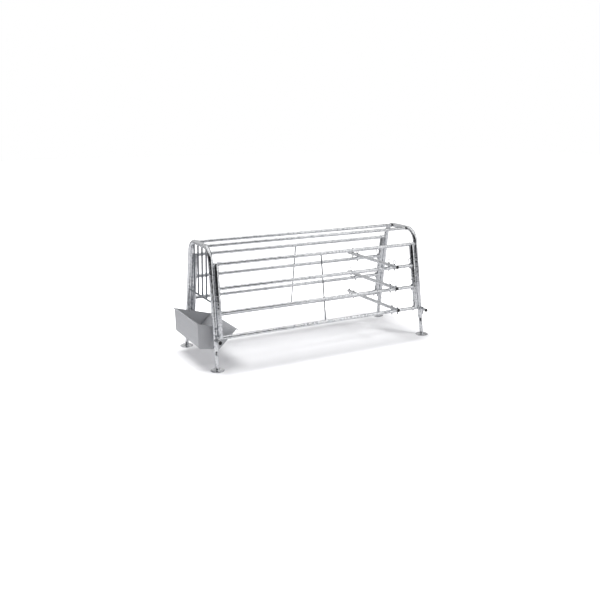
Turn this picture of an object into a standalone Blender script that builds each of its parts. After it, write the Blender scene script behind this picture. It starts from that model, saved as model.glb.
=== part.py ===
"""Galvanised farrowing crate with a sheet steel feeding trough at its head end.

Every separate piece of the crate is its own object at its real size, in metres, +Z up.
+X runs along the crate from the trough to the rear arch, the near side is -Y and the far
side +Y. The origin is on the floor, under the middle of the crate.
"""

import math

import bmesh
import bpy
from mathutils import Matrix, Vector

COLLECTION_NAME = "farrowing_crate"
SIDES = {"near": -1, "far": 1}

# Clearances
TOUCH_GAP = 0.0003
PIN_PLAY = 0.0004

# Arches: bent tube, with legs that lean inwards towards the top
ARCH_PITCH = 2.200
FOOT_SPREAD = 0.770
LEG_LEAN = 0.150
ARCH_TOP_AXIS_Z = 1.0435
ARCH_CORNER_RADIUS = 0.126
LEG_TUBE_D = 0.0424
LEG_TUBE_WALL = 0.0035
LEG_END_Z = 0.165

# Stubs that stand out of the legs
STUB_D = 0.0337
STUB_WALL = 0.0032
STUB_AXIS_Z = 0.262
STUB_REACH = 0.108
STUB_PLUG_THICKNESS = 0.003
STUB_PIN_D = 0.010
STUB_PIN_REACH = 0.049
STUB_PIN_HEAD_D = 0.015
STUB_PIN_HEAD_HEIGHT = 0.005
STUB_PIN_TAIL = 0.033

# Feet, whose tubes slide in the legs with some play
FOOT_TUBE_PLAY = 0.0017
FOOT_TUBE_D = LEG_TUBE_D - 2 * LEG_TUBE_WALL - FOOT_TUBE_PLAY
FOOT_TUBE_WALL = 0.0032
FOOT_TUBE_TOP_Z = 0.230
FOOT_PLATE_D = 0.122
FOOT_PLATE_THICKNESS = 0.006
FOOT_PLATE_EDGE = 0.0015
FOOT_HOLE_D = 0.013
FOOT_HOLE_OFFSET = 0.041

# Lock screws of the feet
LOCK_SCREW_D = 0.010
LOCK_SCREW_HEAD_D = 0.017
LOCK_SCREW_HEAD_HEIGHT = 0.007
LOCK_SCREW_Z = 0.201
SPARE_HOLE_DROP = 0.021

# Side rails
RAIL_D = 0.0337
RAIL_WALL = 0.0032
RAIL_LOWEST_Z = 0.270
RAIL_PITCH = 0.210
RAIL_NAMES = ("bottom", "lower", "upper", "top")

# Posts beside the legs
POST_D = 0.0483
POST_WALL = 0.0032
POST_LEG_GAP = 0.00215
POST_FROM_LEG = (LEG_TUBE_D + POST_D) / 2 + POST_LEG_GAP

# Tie rods between the rails
TIE_ROD_D = 0.011
TIE_ROD_FROM_FRONT = 1.103

# Top tubes
TOP_TUBE_D = 0.0300
TOP_TUBE_WALL = 0.0026
TOP_TUBE_OFFSET = 0.120
TOP_TUBE_CAP_LENGTH = 0.016

# Head grille in the front arch
GRILLE_ROD_D = 0.015
GRILLE_ROD_PITCH = 0.099
GRILLE_ROD_COUNT = 4
GRILLE_CROSS_ROD_D = 0.016
GRILLE_CROSS_ROD_Z = 0.572

# Trough: a folded sheet, seen from the side, with its distances ahead of and behind the legs
TROUGH_LEG_CLEARANCE = 0.002
TROUGH_SHEET = 0.002
TROUGH_FRONT_REACH = 0.154
TROUGH_FRONT_TOP_Z = 0.412
TROUGH_FRONT_BOTTOM_X = -0.133
TROUGH_FRONT_BOTTOM_Z = 0.190
TROUGH_REAR_BOTTOM_X = 0.052
TROUGH_REAR_BOTTOM_Z = 0.158
TROUGH_REAR_REACH = 0.230
TROUGH_REAR_TOP_Z = 0.316
TROUGH_BEND_RADIUS = 0.014
TROUGH_RIM_WIDTH = 0.012
TROUGH_RIM_DROP = 0.012
TROUGH_RIM_RADIUS = 0.004
TROUGH_END_INSET = 0.0005
TROUGH_FLANGE_WIDTH = 0.017
TROUGH_FLANGE_FROM_RIM = 0.016
TROUGH_BOSS_D = 0.020
TROUGH_BOLT_D = 0.010
TROUGH_BOLT_HEAD_D = 0.022
TROUGH_BOLT_HEAD_HEIGHT = 0.007
TROUGH_BOLT_HEIGHTS = {"upper": 0.360, "lower": 0.296}

# Retaining bars across the rails behind the sow
BAR_D = 0.0337
BAR_WALL = 0.0032
BAR_OVERHANG = 0.1055
BAR_FROM_FRONT = 1.860
BAR_NEAR_CUTBACKS = {"bottom": 0.0, "lower": 0.030, "upper": 0.030}
BAR_OUTER_PIN_OUTSET = 0.090
BAR_OUTER_PIN_FROM_PLUG = 0.002

# Plugs in the ends of the retaining bars
PLUG_HEAD_THICKNESS = 0.003
PLUG_EDGE = 0.0015
PLUG_SPIGOT_LENGTH = 0.008
PLUG_SPIGOT_PLAY = 0.0003

# Ring pins: sizes that they share, then each family's ring, tail below the tube and turn
PIN_SHANK_D = 0.010
PIN_TIP_LENGTH = 0.005
PIN_SHOULDER_D = 0.015
PIN_SHOULDER_HEIGHT = 0.004
PIN_WIRE_D = 0.005
PIN_FAMILIES = {
    "lock_pin": {"ring_d": 0.035, "tail": 0.015, "turn": math.radians(90)},
    "bar_pin": {"ring_d": 0.042, "tail": 0.026, "turn": 0.0},
    "rail_pin": {"ring_d": 0.058, "tail": 0.016, "turn": 0.0},
}
RAIL_PIN_CLEARANCE = 0.00335
RAIL_PIN_FROM_POST = (POST_D + PIN_SHOULDER_D) / 2 + RAIL_PIN_CLEARANCE

# Facets of round pieces
TUBE_SIDES = 16
BORE_SIDES = 12
THIN_ROD_SIDES = 8
PLATE_STEPS = 20
TURNED_STEPS = 10
HEXAGON_STEPS = 6
PIN_STEPS = 8
RING_STEPS = 12
RING_WIRE_SIDES = 5
ARCH_BEND_STEPS = 6
TROUGH_BEND_STEPS = 3
SHARP_ANGLE = math.radians(35)

# The crate is centred on the origin between the trough's front rim and the rear feet
FRONT_X = (TROUGH_FRONT_REACH - ARCH_PITCH - FOOT_PLATE_D / 2) / 2
REAR_X = FRONT_X + ARCH_PITCH
ARCH_X = {"front": FRONT_X, "rear": REAR_X}
RAIL_HEIGHTS = {name: RAIL_LOWEST_Z + RAIL_PITCH * step for step, name in enumerate(RAIL_NAMES)}
BAR_RAILS = tuple(BAR_NEAR_CUTBACKS)
POST_X = {"front": FRONT_X + POST_FROM_LEG, "rear": REAR_X - POST_FROM_LEG}
BAR_X = FRONT_X + BAR_FROM_FRONT
TIE_ROD_X = FRONT_X + TIE_ROD_FROM_FRONT
RAIL_PIN_X = POST_X["rear"] - RAIL_PIN_FROM_POST

MATERIALS = {
    "galvanised_tube": ((0.56, 0.57, 0.58, 1.0), 0.32, 1.0),
    "stainless_sheet": ((0.50, 0.50, 0.51, 1.0), 0.38, 1.0),
    "zinc_plated_pin": ((0.48, 0.48, 0.49, 1.0), 0.35, 1.0),
    "black_plastic": ((0.012, 0.012, 0.013, 1.0), 0.45, 0.0),
}


def clear_scene():
    """Remove the objects and meshes that the scene holds."""
    for item in list(bpy.data.objects):
        bpy.data.objects.remove(item, do_unlink=True)
    for mesh in list(bpy.data.meshes):
        bpy.data.meshes.remove(mesh)


def make_collection():
    """Return the collection that holds the crate's pieces."""
    collection = bpy.data.collections.new(COLLECTION_NAME)
    bpy.context.scene.collection.children.link(collection)
    return collection


def make_material(piece_name, finish):
    """Return a material of its own for a piece, with the colour, roughness and metal of its finish."""
    colour, roughness, metallic = MATERIALS[finish]
    material = bpy.data.materials.new(piece_name)
    material.use_nodes = True
    shader = material.node_tree.nodes["Principled BSDF"]
    shader.inputs["Base Color"].default_value = colour
    shader.inputs["Roughness"].default_value = roughness
    shader.inputs["Metallic"].default_value = metallic
    return material


# Working shapes, which become pieces once they are cut and joined


def add_object(name, mesh):
    """Put a mesh into the scene as an object."""
    item = bpy.data.objects.new(name, mesh)
    bpy.context.scene.collection.objects.link(item)
    return item


def evaluated_mesh(item):
    """Return a new mesh of an object as its modifiers leave it."""
    bpy.context.view_layer.update()
    graph = bpy.context.evaluated_depsgraph_get()
    return bpy.data.meshes.new_from_object(item.evaluated_get(graph))


def apply_modifiers(item):
    """Replace an object's mesh by the mesh that its modifiers make."""
    mesh = evaluated_mesh(item)
    old_mesh = item.data
    item.modifiers.clear()
    item.data = mesh
    bpy.data.meshes.remove(old_mesh)


def rod(points, diameter, sides=TUBE_SIDES):
    """Return a round rod along a line of points, with closed ends."""
    curve = bpy.data.curves.new("rod", "CURVE")
    curve.dimensions = "3D"
    curve.bevel_depth = diameter / 2
    curve.bevel_resolution = (sides - 4) // 2
    curve.use_fill_caps = True
    spline = curve.splines.new("POLY")
    spline.points.add(len(points) - 1)
    for spline_point, point in zip(spline.points, points):
        spline_point.co = (*point, 1.0)
    guide = add_object("rod_guide", curve)
    mesh = evaluated_mesh(guide)
    shape = bmesh.new()
    shape.from_mesh(mesh)
    bmesh.ops.remove_doubles(shape, verts=shape.verts, dist=0.00001)
    shape.to_mesh(mesh)
    shape.free()
    item = add_object("rod", mesh)
    item.matrix_world = guide.matrix_world
    bpy.data.objects.remove(guide)
    bpy.data.curves.remove(curve)
    return item


def combine(item, other, operation):
    """Join another shape to an object, or cut it away, and remove the other shape."""
    modifier = item.modifiers.new(operation.lower(), "BOOLEAN")
    modifier.operation = operation
    modifier.solver = "EXACT"
    modifier.object = other
    apply_modifiers(item)
    mesh = other.data
    bpy.data.objects.remove(other)
    bpy.data.meshes.remove(mesh)
    return item


def join(item, *others):
    """Unite an object with other shapes into one solid."""
    for other in others:
        combine(item, other, "UNION")
    return item


def cut(item, *tools):
    """Cut other shapes out of an object."""
    for tool in tools:
        combine(item, tool, "DIFFERENCE")
    return item


def turned(profile, steps=TURNED_STEPS):
    """Return a solid turned about Z from a profile of radius and height, from its top down."""
    mesh = bpy.data.meshes.new("turned")
    shape = bmesh.new()
    points = [shape.verts.new((radius, 0.0, height)) for radius, height in profile]
    for upper, lower in zip(points, points[1:]):
        shape.edges.new((upper, lower))
    shape.to_mesh(mesh)
    shape.free()
    item = add_object("turned", mesh)
    screw = item.modifiers.new("turn", "SCREW")
    screw.axis = "Z"
    screw.steps = steps
    screw.render_steps = steps
    screw.use_merge_vertices = True
    screw.merge_threshold = 0.00001
    apply_modifiers(item)
    return item


def ring(diameter, wire_diameter):
    """Return a ring of wire in the YZ plane, given its outer diameter."""
    bpy.ops.mesh.primitive_torus_add(
        major_radius=(diameter - wire_diameter) / 2,
        minor_radius=wire_diameter / 2,
        major_segments=RING_STEPS,
        minor_segments=RING_WIRE_SIDES,
    )
    item = bpy.context.object
    item.data.transform(Matrix.Rotation(math.pi / 2, 4, "Y"))
    return item


def slab(outline, y_low, y_high):
    """Return a flat plate with an outline in the XZ plane, between two distances along Y."""
    mesh = bpy.data.meshes.new("slab")
    shape = bmesh.new()
    corners = [shape.verts.new((x, y_low, z)) for x, z in outline]
    face = shape.faces.new(corners)
    grown = bmesh.ops.extrude_face_region(shape, geom=[face])
    moved = [element for element in grown["geom"] if isinstance(element, bmesh.types.BMVert)]
    bmesh.ops.translate(shape, verts=moved, vec=(0.0, y_high - y_low, 0.0))
    bmesh.ops.recalc_face_normals(shape, faces=shape.faces)
    shape.to_mesh(mesh)
    shape.free()
    return add_object("slab", mesh)


def place(item, location, rotation=None):
    """Turn and move the mesh of a working shape."""
    matrix = Matrix.Translation(location)
    if rotation is not None:
        matrix = matrix @ rotation
    item.data.transform(matrix)
    return item


def rounded_path(corners, radius, steps):
    """Return the points of a line through corners, with each inner corner rounded to a radius."""
    points = [Vector(corners[0])]
    for before, corner, after in zip(corners, corners[1:], corners[2:]):
        corner = Vector(corner)
        arriving = (Vector(before) - corner).normalized()
        leaving = (Vector(after) - corner).normalized()
        half_angle = arriving.angle(leaving) / 2
        centre = corner + (arriving + leaving).normalized() * (radius / math.sin(half_angle))
        start = corner + arriving * (radius / math.tan(half_angle)) - centre
        end = corner + leaving * (radius / math.tan(half_angle)) - centre
        for step in range(steps + 1):
            direction = start.normalized().slerp(end.normalized(), step / steps)
            points.append(centre + direction * radius)
    points.append(Vector(corners[-1]))
    return points


def smooth(item):
    """Shade a piece smooth, apart from its real edges."""
    item.data.shade_smooth()
    item.data.set_sharp_from_angle(angle=SHARP_ANGLE)


def finish_piece(item, name, finish, collection, origin=(0.0, 0.0, 0.0), parent=None):
    """Name a piece, give it its origin, parent and material, and put it into the collection."""
    item.name = name
    item.data.name = name
    item.data.transform(Matrix.Translation(-Vector(origin)))
    item.location = Vector(origin)
    if parent is not None:
        item.location -= parent.location
        item.parent = parent
    item.data.materials.clear()
    item.data.materials.append(make_material(name, finish))
    smooth(item)
    for holder in list(item.users_collection):
        holder.objects.unlink(item)
    collection.objects.link(item)
    return item


# Where the leaning frame's lines are


def leg_y(height):
    """Return the distance of the leg's axis from the crate's middle at a height."""
    return FOOT_SPREAD / 2 - LEG_LEAN * height


def leg_point(x, side, height):
    """Return the point of a leaning plane at a height, which legs, rails and posts share."""
    return Vector((x, side * leg_y(height), height))


def leg_direction(side):
    """Return the direction in which a leg runs up."""
    return Vector((0.0, -side * LEG_LEAN, 1.0)).normalized()


def arch_line(x, lowest_z):
    """Return the points of an arch's axis, down to a height on both legs."""
    corners = [
        leg_point(x, -1, lowest_z),
        leg_point(x, -1, ARCH_TOP_AXIS_Z),
        leg_point(x, 1, ARCH_TOP_AXIS_Z),
        leg_point(x, 1, lowest_z),
    ]
    return rounded_path(corners, ARCH_CORNER_RADIUS, ARCH_BEND_STEPS)


def arch_outside(x, clearance=0.0):
    """Return the solid that an arch's tube fills, grown by a clearance."""
    return rod(arch_line(x, LEG_END_Z - clearance), LEG_TUBE_D + 2 * clearance)


def trough_half_width():
    """Return half the trough's width, which fits between the legs at the height of its front rim."""
    leg_half_width = LEG_TUBE_D / 2 * math.hypot(1.0, LEG_LEAN)
    return leg_y(TROUGH_FRONT_TOP_Z) - leg_half_width - TROUGH_LEG_CLEARANCE


def rail_line(side, rail, x_from, x_to):
    """Return the two ends of a stretch of a rail's axis."""
    height = RAIL_HEIGHTS[rail]
    return [leg_point(x_from, side, height), leg_point(x_to, side, height)]


def stub_line(x, side, reach_from, reach_to):
    """Return the two ends of a stretch of a stub's axis, measured outwards from the leg's axis."""
    middle = leg_y(STUB_AXIS_Z)
    return [(x, side * (middle + reach), STUB_AXIS_Z) for reach in (reach_from, reach_to)]


def upright_hole(x, y, height, length):
    """Return a tool that drills an upright hole for a ring pin."""
    ends = [(x, y, height - length / 2), (x, y, height + length / 2)]
    return rod(ends, PIN_SHANK_D + 2 * PIN_PLAY, THIN_ROD_SIDES)


# Arches and feet


def build_arch(end, collection):
    """Build an arch with its plugged stubs, the rear stubs' pins, and holes for screws and bolts."""
    x = ARCH_X[end]
    outwards = -1 if end == "front" else 1
    arch = arch_outside(x)
    for side in SIDES.values():
        join(arch, rod(stub_line(x, side, 0.0, STUB_REACH), STUB_D))
    bore_d = LEG_TUBE_D - 2 * LEG_TUBE_WALL
    stub_bore_d = STUB_D - 2 * STUB_WALL
    cut(arch, rod(arch_line(x, LEG_END_Z - LEG_TUBE_D), bore_d, BORE_SIDES))
    for side in SIDES.values():
        cut(arch, rod(stub_line(x, side, 0.0, STUB_REACH - STUB_PLUG_THICKNESS), stub_bore_d, BORE_SIDES))
        for height in (LOCK_SCREW_Z, LOCK_SCREW_Z - SPARE_HOLE_DROP):
            start = leg_point(x, side, height)
            end_point = start + Vector((outwards * LEG_TUBE_D, 0.0, 0.0))
            cut(arch, rod([start, end_point], LOCK_SCREW_D + 2 * PIN_PLAY, THIN_ROD_SIDES))
        if end == "front":
            for height in TROUGH_BOLT_HEIGHTS.values():
                reaches = (leg_y(height) - LEG_TUBE_D, leg_y(height) + LEG_TUBE_D)
                ends = [(x, side * reach, height) for reach in reaches]
                cut(arch, rod(ends, TROUGH_BOLT_D + 2 * PIN_PLAY, THIN_ROD_SIDES))
        else:
            join(arch, stub_pin(x, side))
    return finish_piece(arch, end + "_arch", "galvanised_tube", collection)


def stub_pin(x, side):
    """Return the headed pin that stands upright in a stub and hangs out below it."""
    head_top = STUB_D / 2 + STUB_PIN_HEAD_HEIGHT
    head_radius = STUB_PIN_HEAD_D / 2
    radius = STUB_PIN_D / 2
    tip = -STUB_D / 2 - STUB_PIN_TAIL
    profile = [
        (0.0, head_top),
        (head_radius, head_top),
        (head_radius, STUB_D / 2 - STUB_WALL / 2),
        (radius, STUB_D / 2 - STUB_WALL / 2),
        (radius, tip),
        (0.0, tip),
    ]
    y = side * (leg_y(STUB_AXIS_Z) + STUB_PIN_REACH)
    return place(turned(profile, PIN_STEPS), (x, y, STUB_AXIS_Z))


def build_foot(end, side_name, collection):
    """Build a foot: a round floor plate on a tube that slides in the leg."""
    side = SIDES[side_name]
    x = ARCH_X[end]
    base = leg_point(x, side, 0.0)
    radius = FOOT_PLATE_D / 2
    profile = [
        (0.0, FOOT_PLATE_THICKNESS),
        (radius - FOOT_PLATE_EDGE, FOOT_PLATE_THICKNESS),
        (radius, FOOT_PLATE_THICKNESS - FOOT_PLATE_EDGE),
        (radius, 0.0),
        (0.0, 0.0),
    ]
    foot = place(turned(profile, PLATE_STEPS), base)
    tube_ends = [leg_point(x, side, height) for height in (FOOT_PLATE_THICKNESS / 2, FOOT_TUBE_TOP_Z)]
    join(foot, rod(tube_ends, FOOT_TUBE_D))
    bore_ends = [leg_point(x, side, height) for height in (FOOT_PLATE_THICKNESS * 2, FOOT_TUBE_TOP_Z * 2)]
    cut(foot, rod(bore_ends, FOOT_TUBE_D - 2 * FOOT_TUBE_WALL, BORE_SIDES))
    hole_y = base.y + side * FOOT_HOLE_OFFSET
    hole_ends = [(x, hole_y, -FOOT_PLATE_THICKNESS), (x, hole_y, 2 * FOOT_PLATE_THICKNESS)]
    cut(foot, rod(hole_ends, FOOT_HOLE_D, THIN_ROD_SIDES))
    name = "foot_" + end + "_" + side_name
    return finish_piece(foot, name, "galvanised_tube", collection, origin=base)


def build_lock_screw(end, side_name, collection):
    """Build the hexagon screw that presses on a foot's tube through the leg's wall."""
    side = SIDES[side_name]
    outwards = -1 if end == "front" else 1
    tip = FOOT_TUBE_D / 2 + TOUCH_GAP
    seat = LEG_TUBE_D / 2 + TOUCH_GAP
    head_top = seat + LOCK_SCREW_HEAD_HEIGHT
    radius = LOCK_SCREW_HEAD_D / 2
    profile = [(0.0, head_top), (radius, head_top), (radius, seat), (0.0, seat)]
    middle = (seat + head_top) / 2
    shank = rod([(0.0, 0.0, tip), (0.0, 0.0, middle)], LOCK_SCREW_D, THIN_ROD_SIDES)
    screw = join(turned(profile, HEXAGON_STEPS), shank)
    turn = Matrix.Rotation(outwards * math.pi / 2, 4, "Y")
    place(screw, leg_point(ARCH_X[end], side, LOCK_SCREW_Z), turn)
    name = "lock_screw_" + end + "_" + side_name
    return finish_piece(screw, name, "zinc_plated_pin", collection)


# Side panels


def build_rail(side_name, rail, collection):
    """Build a side rail, with its ends shaped to the legs or the posts that carry it."""
    side = SIDES[side_name]
    ends_at_legs = rail in (RAIL_NAMES[0], RAIL_NAMES[-1])
    stations = ARCH_X if ends_at_legs else POST_X
    x_front, x_rear = stations["front"], stations["rear"]
    tube = rod(rail_line(side, rail, x_front, x_rear), RAIL_D)
    for end in ARCH_X:
        if ends_at_legs:
            stub = rod(stub_line(ARCH_X[end], side, 0.0, STUB_REACH), STUB_D + 2 * TOUCH_GAP)
            cut(tube, arch_outside(ARCH_X[end], TOUCH_GAP), stub)
        else:
            cut(tube, rod(post_line(end, side), POST_D + 2 * TOUCH_GAP))
    bore_line = rail_line(side, rail, x_front - RAIL_D, x_rear + RAIL_D)
    cut(tube, rod(bore_line, RAIL_D - 2 * RAIL_WALL, BORE_SIDES))
    height = RAIL_HEIGHTS[rail]
    if rail in BAR_RAILS:
        for hole_x in (BAR_X, RAIL_PIN_X):
            cut(tube, upright_hole(hole_x, side * leg_y(height), height, RAIL_D * 2))
    if not ends_at_legs:
        rod_ends = [leg_point(TIE_ROD_X, side, height + offset) for offset in (-RAIL_D, RAIL_D)]
        cut(tube, rod(rod_ends, TIE_ROD_D + 2 * TOUCH_GAP, THIN_ROD_SIDES))
    return finish_piece(tube, "rail_" + rail + "_" + side_name, "galvanised_tube", collection)


def post_line(end, side):
    """Return the two ends of a post's axis, inside the bottom and the top rail."""
    seat = RAIL_D / 4
    heights = (RAIL_HEIGHTS["bottom"] + seat, RAIL_HEIGHTS["top"] - seat)
    return [leg_point(POST_X[end], side, height) for height in heights]


def build_post(end, side_name, collection):
    """Build a post that stands between the bottom and the top rail."""
    side = SIDES[side_name]
    post = rod(post_line(end, side), POST_D)
    for rail in ("bottom", "top"):
        stretch = rail_line(side, rail, POST_X[end] - POST_D, POST_X[end] + POST_D)
        cut(post, rod(stretch, RAIL_D + 2 * TOUCH_GAP))
    lowest, highest = post_line(end, side)
    overrun = leg_direction(side) * POST_D
    cut(post, rod([lowest - overrun, highest + overrun], POST_D - 2 * POST_WALL, BORE_SIDES))
    return finish_piece(post, "post_" + end + "_" + side_name, "galvanised_tube", collection)


def build_tie_rod(side_name, collection):
    """Build the thin rod that runs from the bottom rail through the middle rails to the top rail."""
    side = SIDES[side_name]
    ends = [leg_point(TIE_ROD_X, side, RAIL_HEIGHTS[rail]) for rail in ("bottom", "top")]
    tie_rod = rod(ends, TIE_ROD_D, THIN_ROD_SIDES)
    for rail in ("bottom", "top"):
        stretch = rail_line(side, rail, TIE_ROD_X - RAIL_D, TIE_ROD_X + RAIL_D)
        cut(tie_rod, rod(stretch, RAIL_D + 2 * TOUCH_GAP))
    return finish_piece(tie_rod, "tie_rod_" + side_name, "galvanised_tube", collection)


def build_top_tube(side_name, collection):
    """Build a top tube, from the front arch to its closed cap against the rear arch."""
    y = SIDES[side_name] * TOP_TUBE_OFFSET
    rear_end = REAR_X - LEG_TUBE_D / 2 - TOUCH_GAP
    tube = rod([(FRONT_X, y, ARCH_TOP_AXIS_Z), (rear_end, y, ARCH_TOP_AXIS_Z)], TOP_TUBE_D)
    cut(tube, arch_outside(FRONT_X, TOUCH_GAP))
    bore_ends = [(FRONT_X, y, ARCH_TOP_AXIS_Z), (rear_end - TOP_TUBE_CAP_LENGTH, y, ARCH_TOP_AXIS_Z)]
    cut(tube, rod(bore_ends, TOP_TUBE_D - 2 * TOP_TUBE_WALL, BORE_SIDES))
    return finish_piece(tube, "top_tube_" + side_name, "galvanised_tube", collection)


# Head grille and trough


def build_head_grille(collection):
    """Build the welded grille: a cross rod between the front legs and upright rods up to the arch."""
    reach = leg_y(GRILLE_CROSS_ROD_Z)
    cross_ends = [(FRONT_X, side * reach, GRILLE_CROSS_ROD_Z) for side in SIDES.values()]
    grille = rod(cross_ends, GRILLE_CROSS_ROD_D, THIN_ROD_SIDES)
    for number in range(GRILLE_ROD_COUNT):
        y = (number - (GRILLE_ROD_COUNT - 1) / 2) * GRILLE_ROD_PITCH
        ends = [(FRONT_X, y, GRILLE_CROSS_ROD_Z), (FRONT_X, y, grille_rod_top(y))]
        join(grille, rod(ends, GRILLE_ROD_D, THIN_ROD_SIDES))
    cut(grille, arch_outside(FRONT_X, TOUCH_GAP))
    return finish_piece(grille, "head_grille", "galvanised_tube", collection)


def grille_rod_top(y):
    """Return the height of the arch's axis above a grille rod."""
    corner = FOOT_SPREAD / 2 - LEG_LEAN * ARCH_TOP_AXIS_Z
    half_turn = (math.pi / 2 - math.atan(LEG_LEAN)) / 2
    flat = corner - ARCH_CORNER_RADIUS * math.tan(half_turn)
    into_bend = max(0.0, abs(y) - flat)
    drop = ARCH_CORNER_RADIUS - math.sqrt(ARCH_CORNER_RADIUS ** 2 - into_bend ** 2)
    return ARCH_TOP_AXIS_Z - drop


def trough_corners():
    """Return the corners of the middle line of the trough's sheet, from the front rim to the rear rim."""
    half_sheet = TROUGH_SHEET / 2
    front_x = FRONT_X - TROUGH_FRONT_REACH + half_sheet
    front_z = TROUGH_FRONT_TOP_Z - half_sheet
    rear_x = FRONT_X + TROUGH_REAR_REACH - half_sheet
    rear_z = TROUGH_REAR_TOP_Z - half_sheet
    return {
        "front_lip": Vector((front_x, 0.0, front_z - TROUGH_RIM_DROP)),
        "front_rim": Vector((front_x, 0.0, front_z)),
        "front_top": Vector((front_x + TROUGH_RIM_WIDTH, 0.0, front_z)),
        "front_bottom": Vector((FRONT_X + TROUGH_FRONT_BOTTOM_X, 0.0, TROUGH_FRONT_BOTTOM_Z)),
        "rear_bottom": Vector((FRONT_X + TROUGH_REAR_BOTTOM_X, 0.0, TROUGH_REAR_BOTTOM_Z)),
        "rear_top": Vector((rear_x - TROUGH_RIM_WIDTH, 0.0, rear_z)),
        "rear_rim": Vector((rear_x, 0.0, rear_z)),
        "rear_lip": Vector((rear_x, 0.0, rear_z - TROUGH_RIM_DROP)),
    }


def trough_end_outline():
    """Return the outline of a trough's end plate, which meets the middle of the sheet all round."""
    corner = trough_corners()
    front_top, front_bottom = corner["front_top"], corner["front_bottom"]
    rear_bottom, rear_top = corner["rear_bottom"], corner["rear_top"]
    front_edge = front_top + (front_bottom - front_top).normalized() * TROUGH_RIM_RADIUS
    rear_edge = rear_top + (rear_bottom - rear_top).normalized() * TROUGH_RIM_RADIUS
    ends = [front_edge, front_bottom, rear_bottom, rear_edge]
    line = rounded_path(ends, TROUGH_BEND_RADIUS, TROUGH_BEND_STEPS)
    return [(point.x, point.z) for point in line]


def trough_line():
    """Return the middle line of the trough's folded sheet, with rounded folds."""
    corner = trough_corners()
    front_halfway = corner["front_top"].lerp(corner["front_bottom"], 0.5)
    rear_halfway = corner["rear_bottom"].lerp(corner["rear_top"], 0.5)
    front = [corner["front_lip"], corner["front_rim"], corner["front_top"], front_halfway]
    belly = [front_halfway, corner["front_bottom"], corner["rear_bottom"], rear_halfway]
    rear = [rear_halfway, corner["rear_top"], corner["rear_rim"], corner["rear_lip"]]
    line = rounded_path(front, TROUGH_RIM_RADIUS, TROUGH_BEND_STEPS)[:-1]
    line += rounded_path(belly, TROUGH_BEND_RADIUS, TROUGH_BEND_STEPS)[1:-1]
    line += rounded_path(rear, TROUGH_RIM_RADIUS, TROUGH_BEND_STEPS)[1:]
    return line


def trough_sheet():
    """Return the folded sheet of the trough: an open profile drawn out across the crate."""
    mesh = bpy.data.meshes.new("trough_sheet")
    shape = bmesh.new()
    half_width = trough_half_width()
    points = [shape.verts.new((point.x, -half_width, point.z)) for point in trough_line()]
    edges = [shape.edges.new(pair) for pair in zip(points, points[1:])]
    grown = bmesh.ops.extrude_edge_only(shape, edges=edges)
    moved = [element for element in grown["geom"] if isinstance(element, bmesh.types.BMVert)]
    bmesh.ops.translate(shape, verts=moved, vec=(0.0, 2 * half_width, 0.0))
    shape.to_mesh(mesh)
    shape.free()
    item = add_object("trough_sheet", mesh)
    wall = item.modifiers.new("wall", "SOLIDIFY")
    wall.thickness = TROUGH_SHEET
    wall.offset = 0.0
    wall.use_even_offset = True
    apply_modifiers(item)
    shape = bmesh.new()
    shape.from_mesh(item.data)
    bmesh.ops.recalc_face_normals(shape, faces=shape.faces)
    shape.to_mesh(item.data)
    shape.free()
    return item


def trough_flange(side):
    """Return the strip that is folded from an end plate over the end of the front wall."""
    corner = trough_corners()
    top, bottom = corner["front_top"], corner["front_bottom"]
    down = (bottom - top).normalized()
    outwards = Vector((down.z, 0.0, -down.x))
    high = top + down * TROUGH_FLANGE_FROM_RIM
    low = bottom - down * TROUGH_BEND_RADIUS
    skin = outwards * (TROUGH_SHEET * 1.5)
    outline = [(point.x, point.z) for point in (high, high + skin, low + skin, low)]
    outer = trough_half_width() - TROUGH_END_INSET
    return slab(outline, *sorted((side * outer, side * (outer - TROUGH_FLANGE_WIDTH))))


def build_trough(collection):
    """Build the trough: folded sheet, two flanged end plates, and the bosses that its bolts screw into."""
    outline = trough_end_outline()
    trough = trough_sheet()
    outer = trough_half_width() - TROUGH_END_INSET
    inner = outer - TROUGH_SHEET
    for side in SIDES.values():
        join(trough, slab(outline, *sorted((side * inner, side * outer))), trough_flange(side))
        for height in TROUGH_BOLT_HEIGHTS.values():
            boss_ends = [(FRONT_X, side * y, height) for y in (inner + TROUGH_SHEET / 2, leg_y(height))]
            boss = cut(rod(boss_ends, TROUGH_BOSS_D, BORE_SIDES), arch_outside(FRONT_X, TOUCH_GAP))
            join(trough, boss)
            hole_ends = [(FRONT_X, side * y, height) for y in (inner - TROUGH_BOSS_D, leg_y(height))]
            cut(trough, rod(hole_ends, TROUGH_BOLT_D + 2 * TOUCH_GAP, THIN_ROD_SIDES))
    return finish_piece(trough, "trough", "stainless_sheet", collection)


def build_trough_bolt(level, side_name, collection):
    """Build a round-headed bolt that holds the trough's end to the leg."""
    side = SIDES[side_name]
    height = TROUGH_BOLT_HEIGHTS[level]
    head_radius = TROUGH_BOLT_HEAD_D / 2
    slope_run = head_radius * LEG_LEAN
    seat = leg_y(height) + LEG_TUBE_D / 2 * math.hypot(1.0, LEG_LEAN) + slope_run + TOUCH_GAP
    tip = trough_half_width() - TROUGH_END_INSET - TROUGH_SHEET
    profile = [(0.0, seat + TROUGH_BOLT_HEAD_HEIGHT)]
    for step in range(1, 4):
        angle = math.pi / 2 * step / 3
        profile.append((head_radius * math.sin(angle), seat + TROUGH_BOLT_HEAD_HEIGHT * math.cos(angle)))
    profile += [(TROUGH_BOLT_D / 2, seat), (TROUGH_BOLT_D / 2, tip), (0.0, tip)]
    bolt = turned(profile, THIN_ROD_SIDES)
    place(bolt, (FRONT_X, 0.0, height), Matrix.Rotation(-side * math.pi / 2, 4, "X"))
    return finish_piece(bolt, "trough_bolt_" + level + "_" + side_name, "zinc_plated_pin", collection)


# Retaining bars and ring pins


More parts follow.
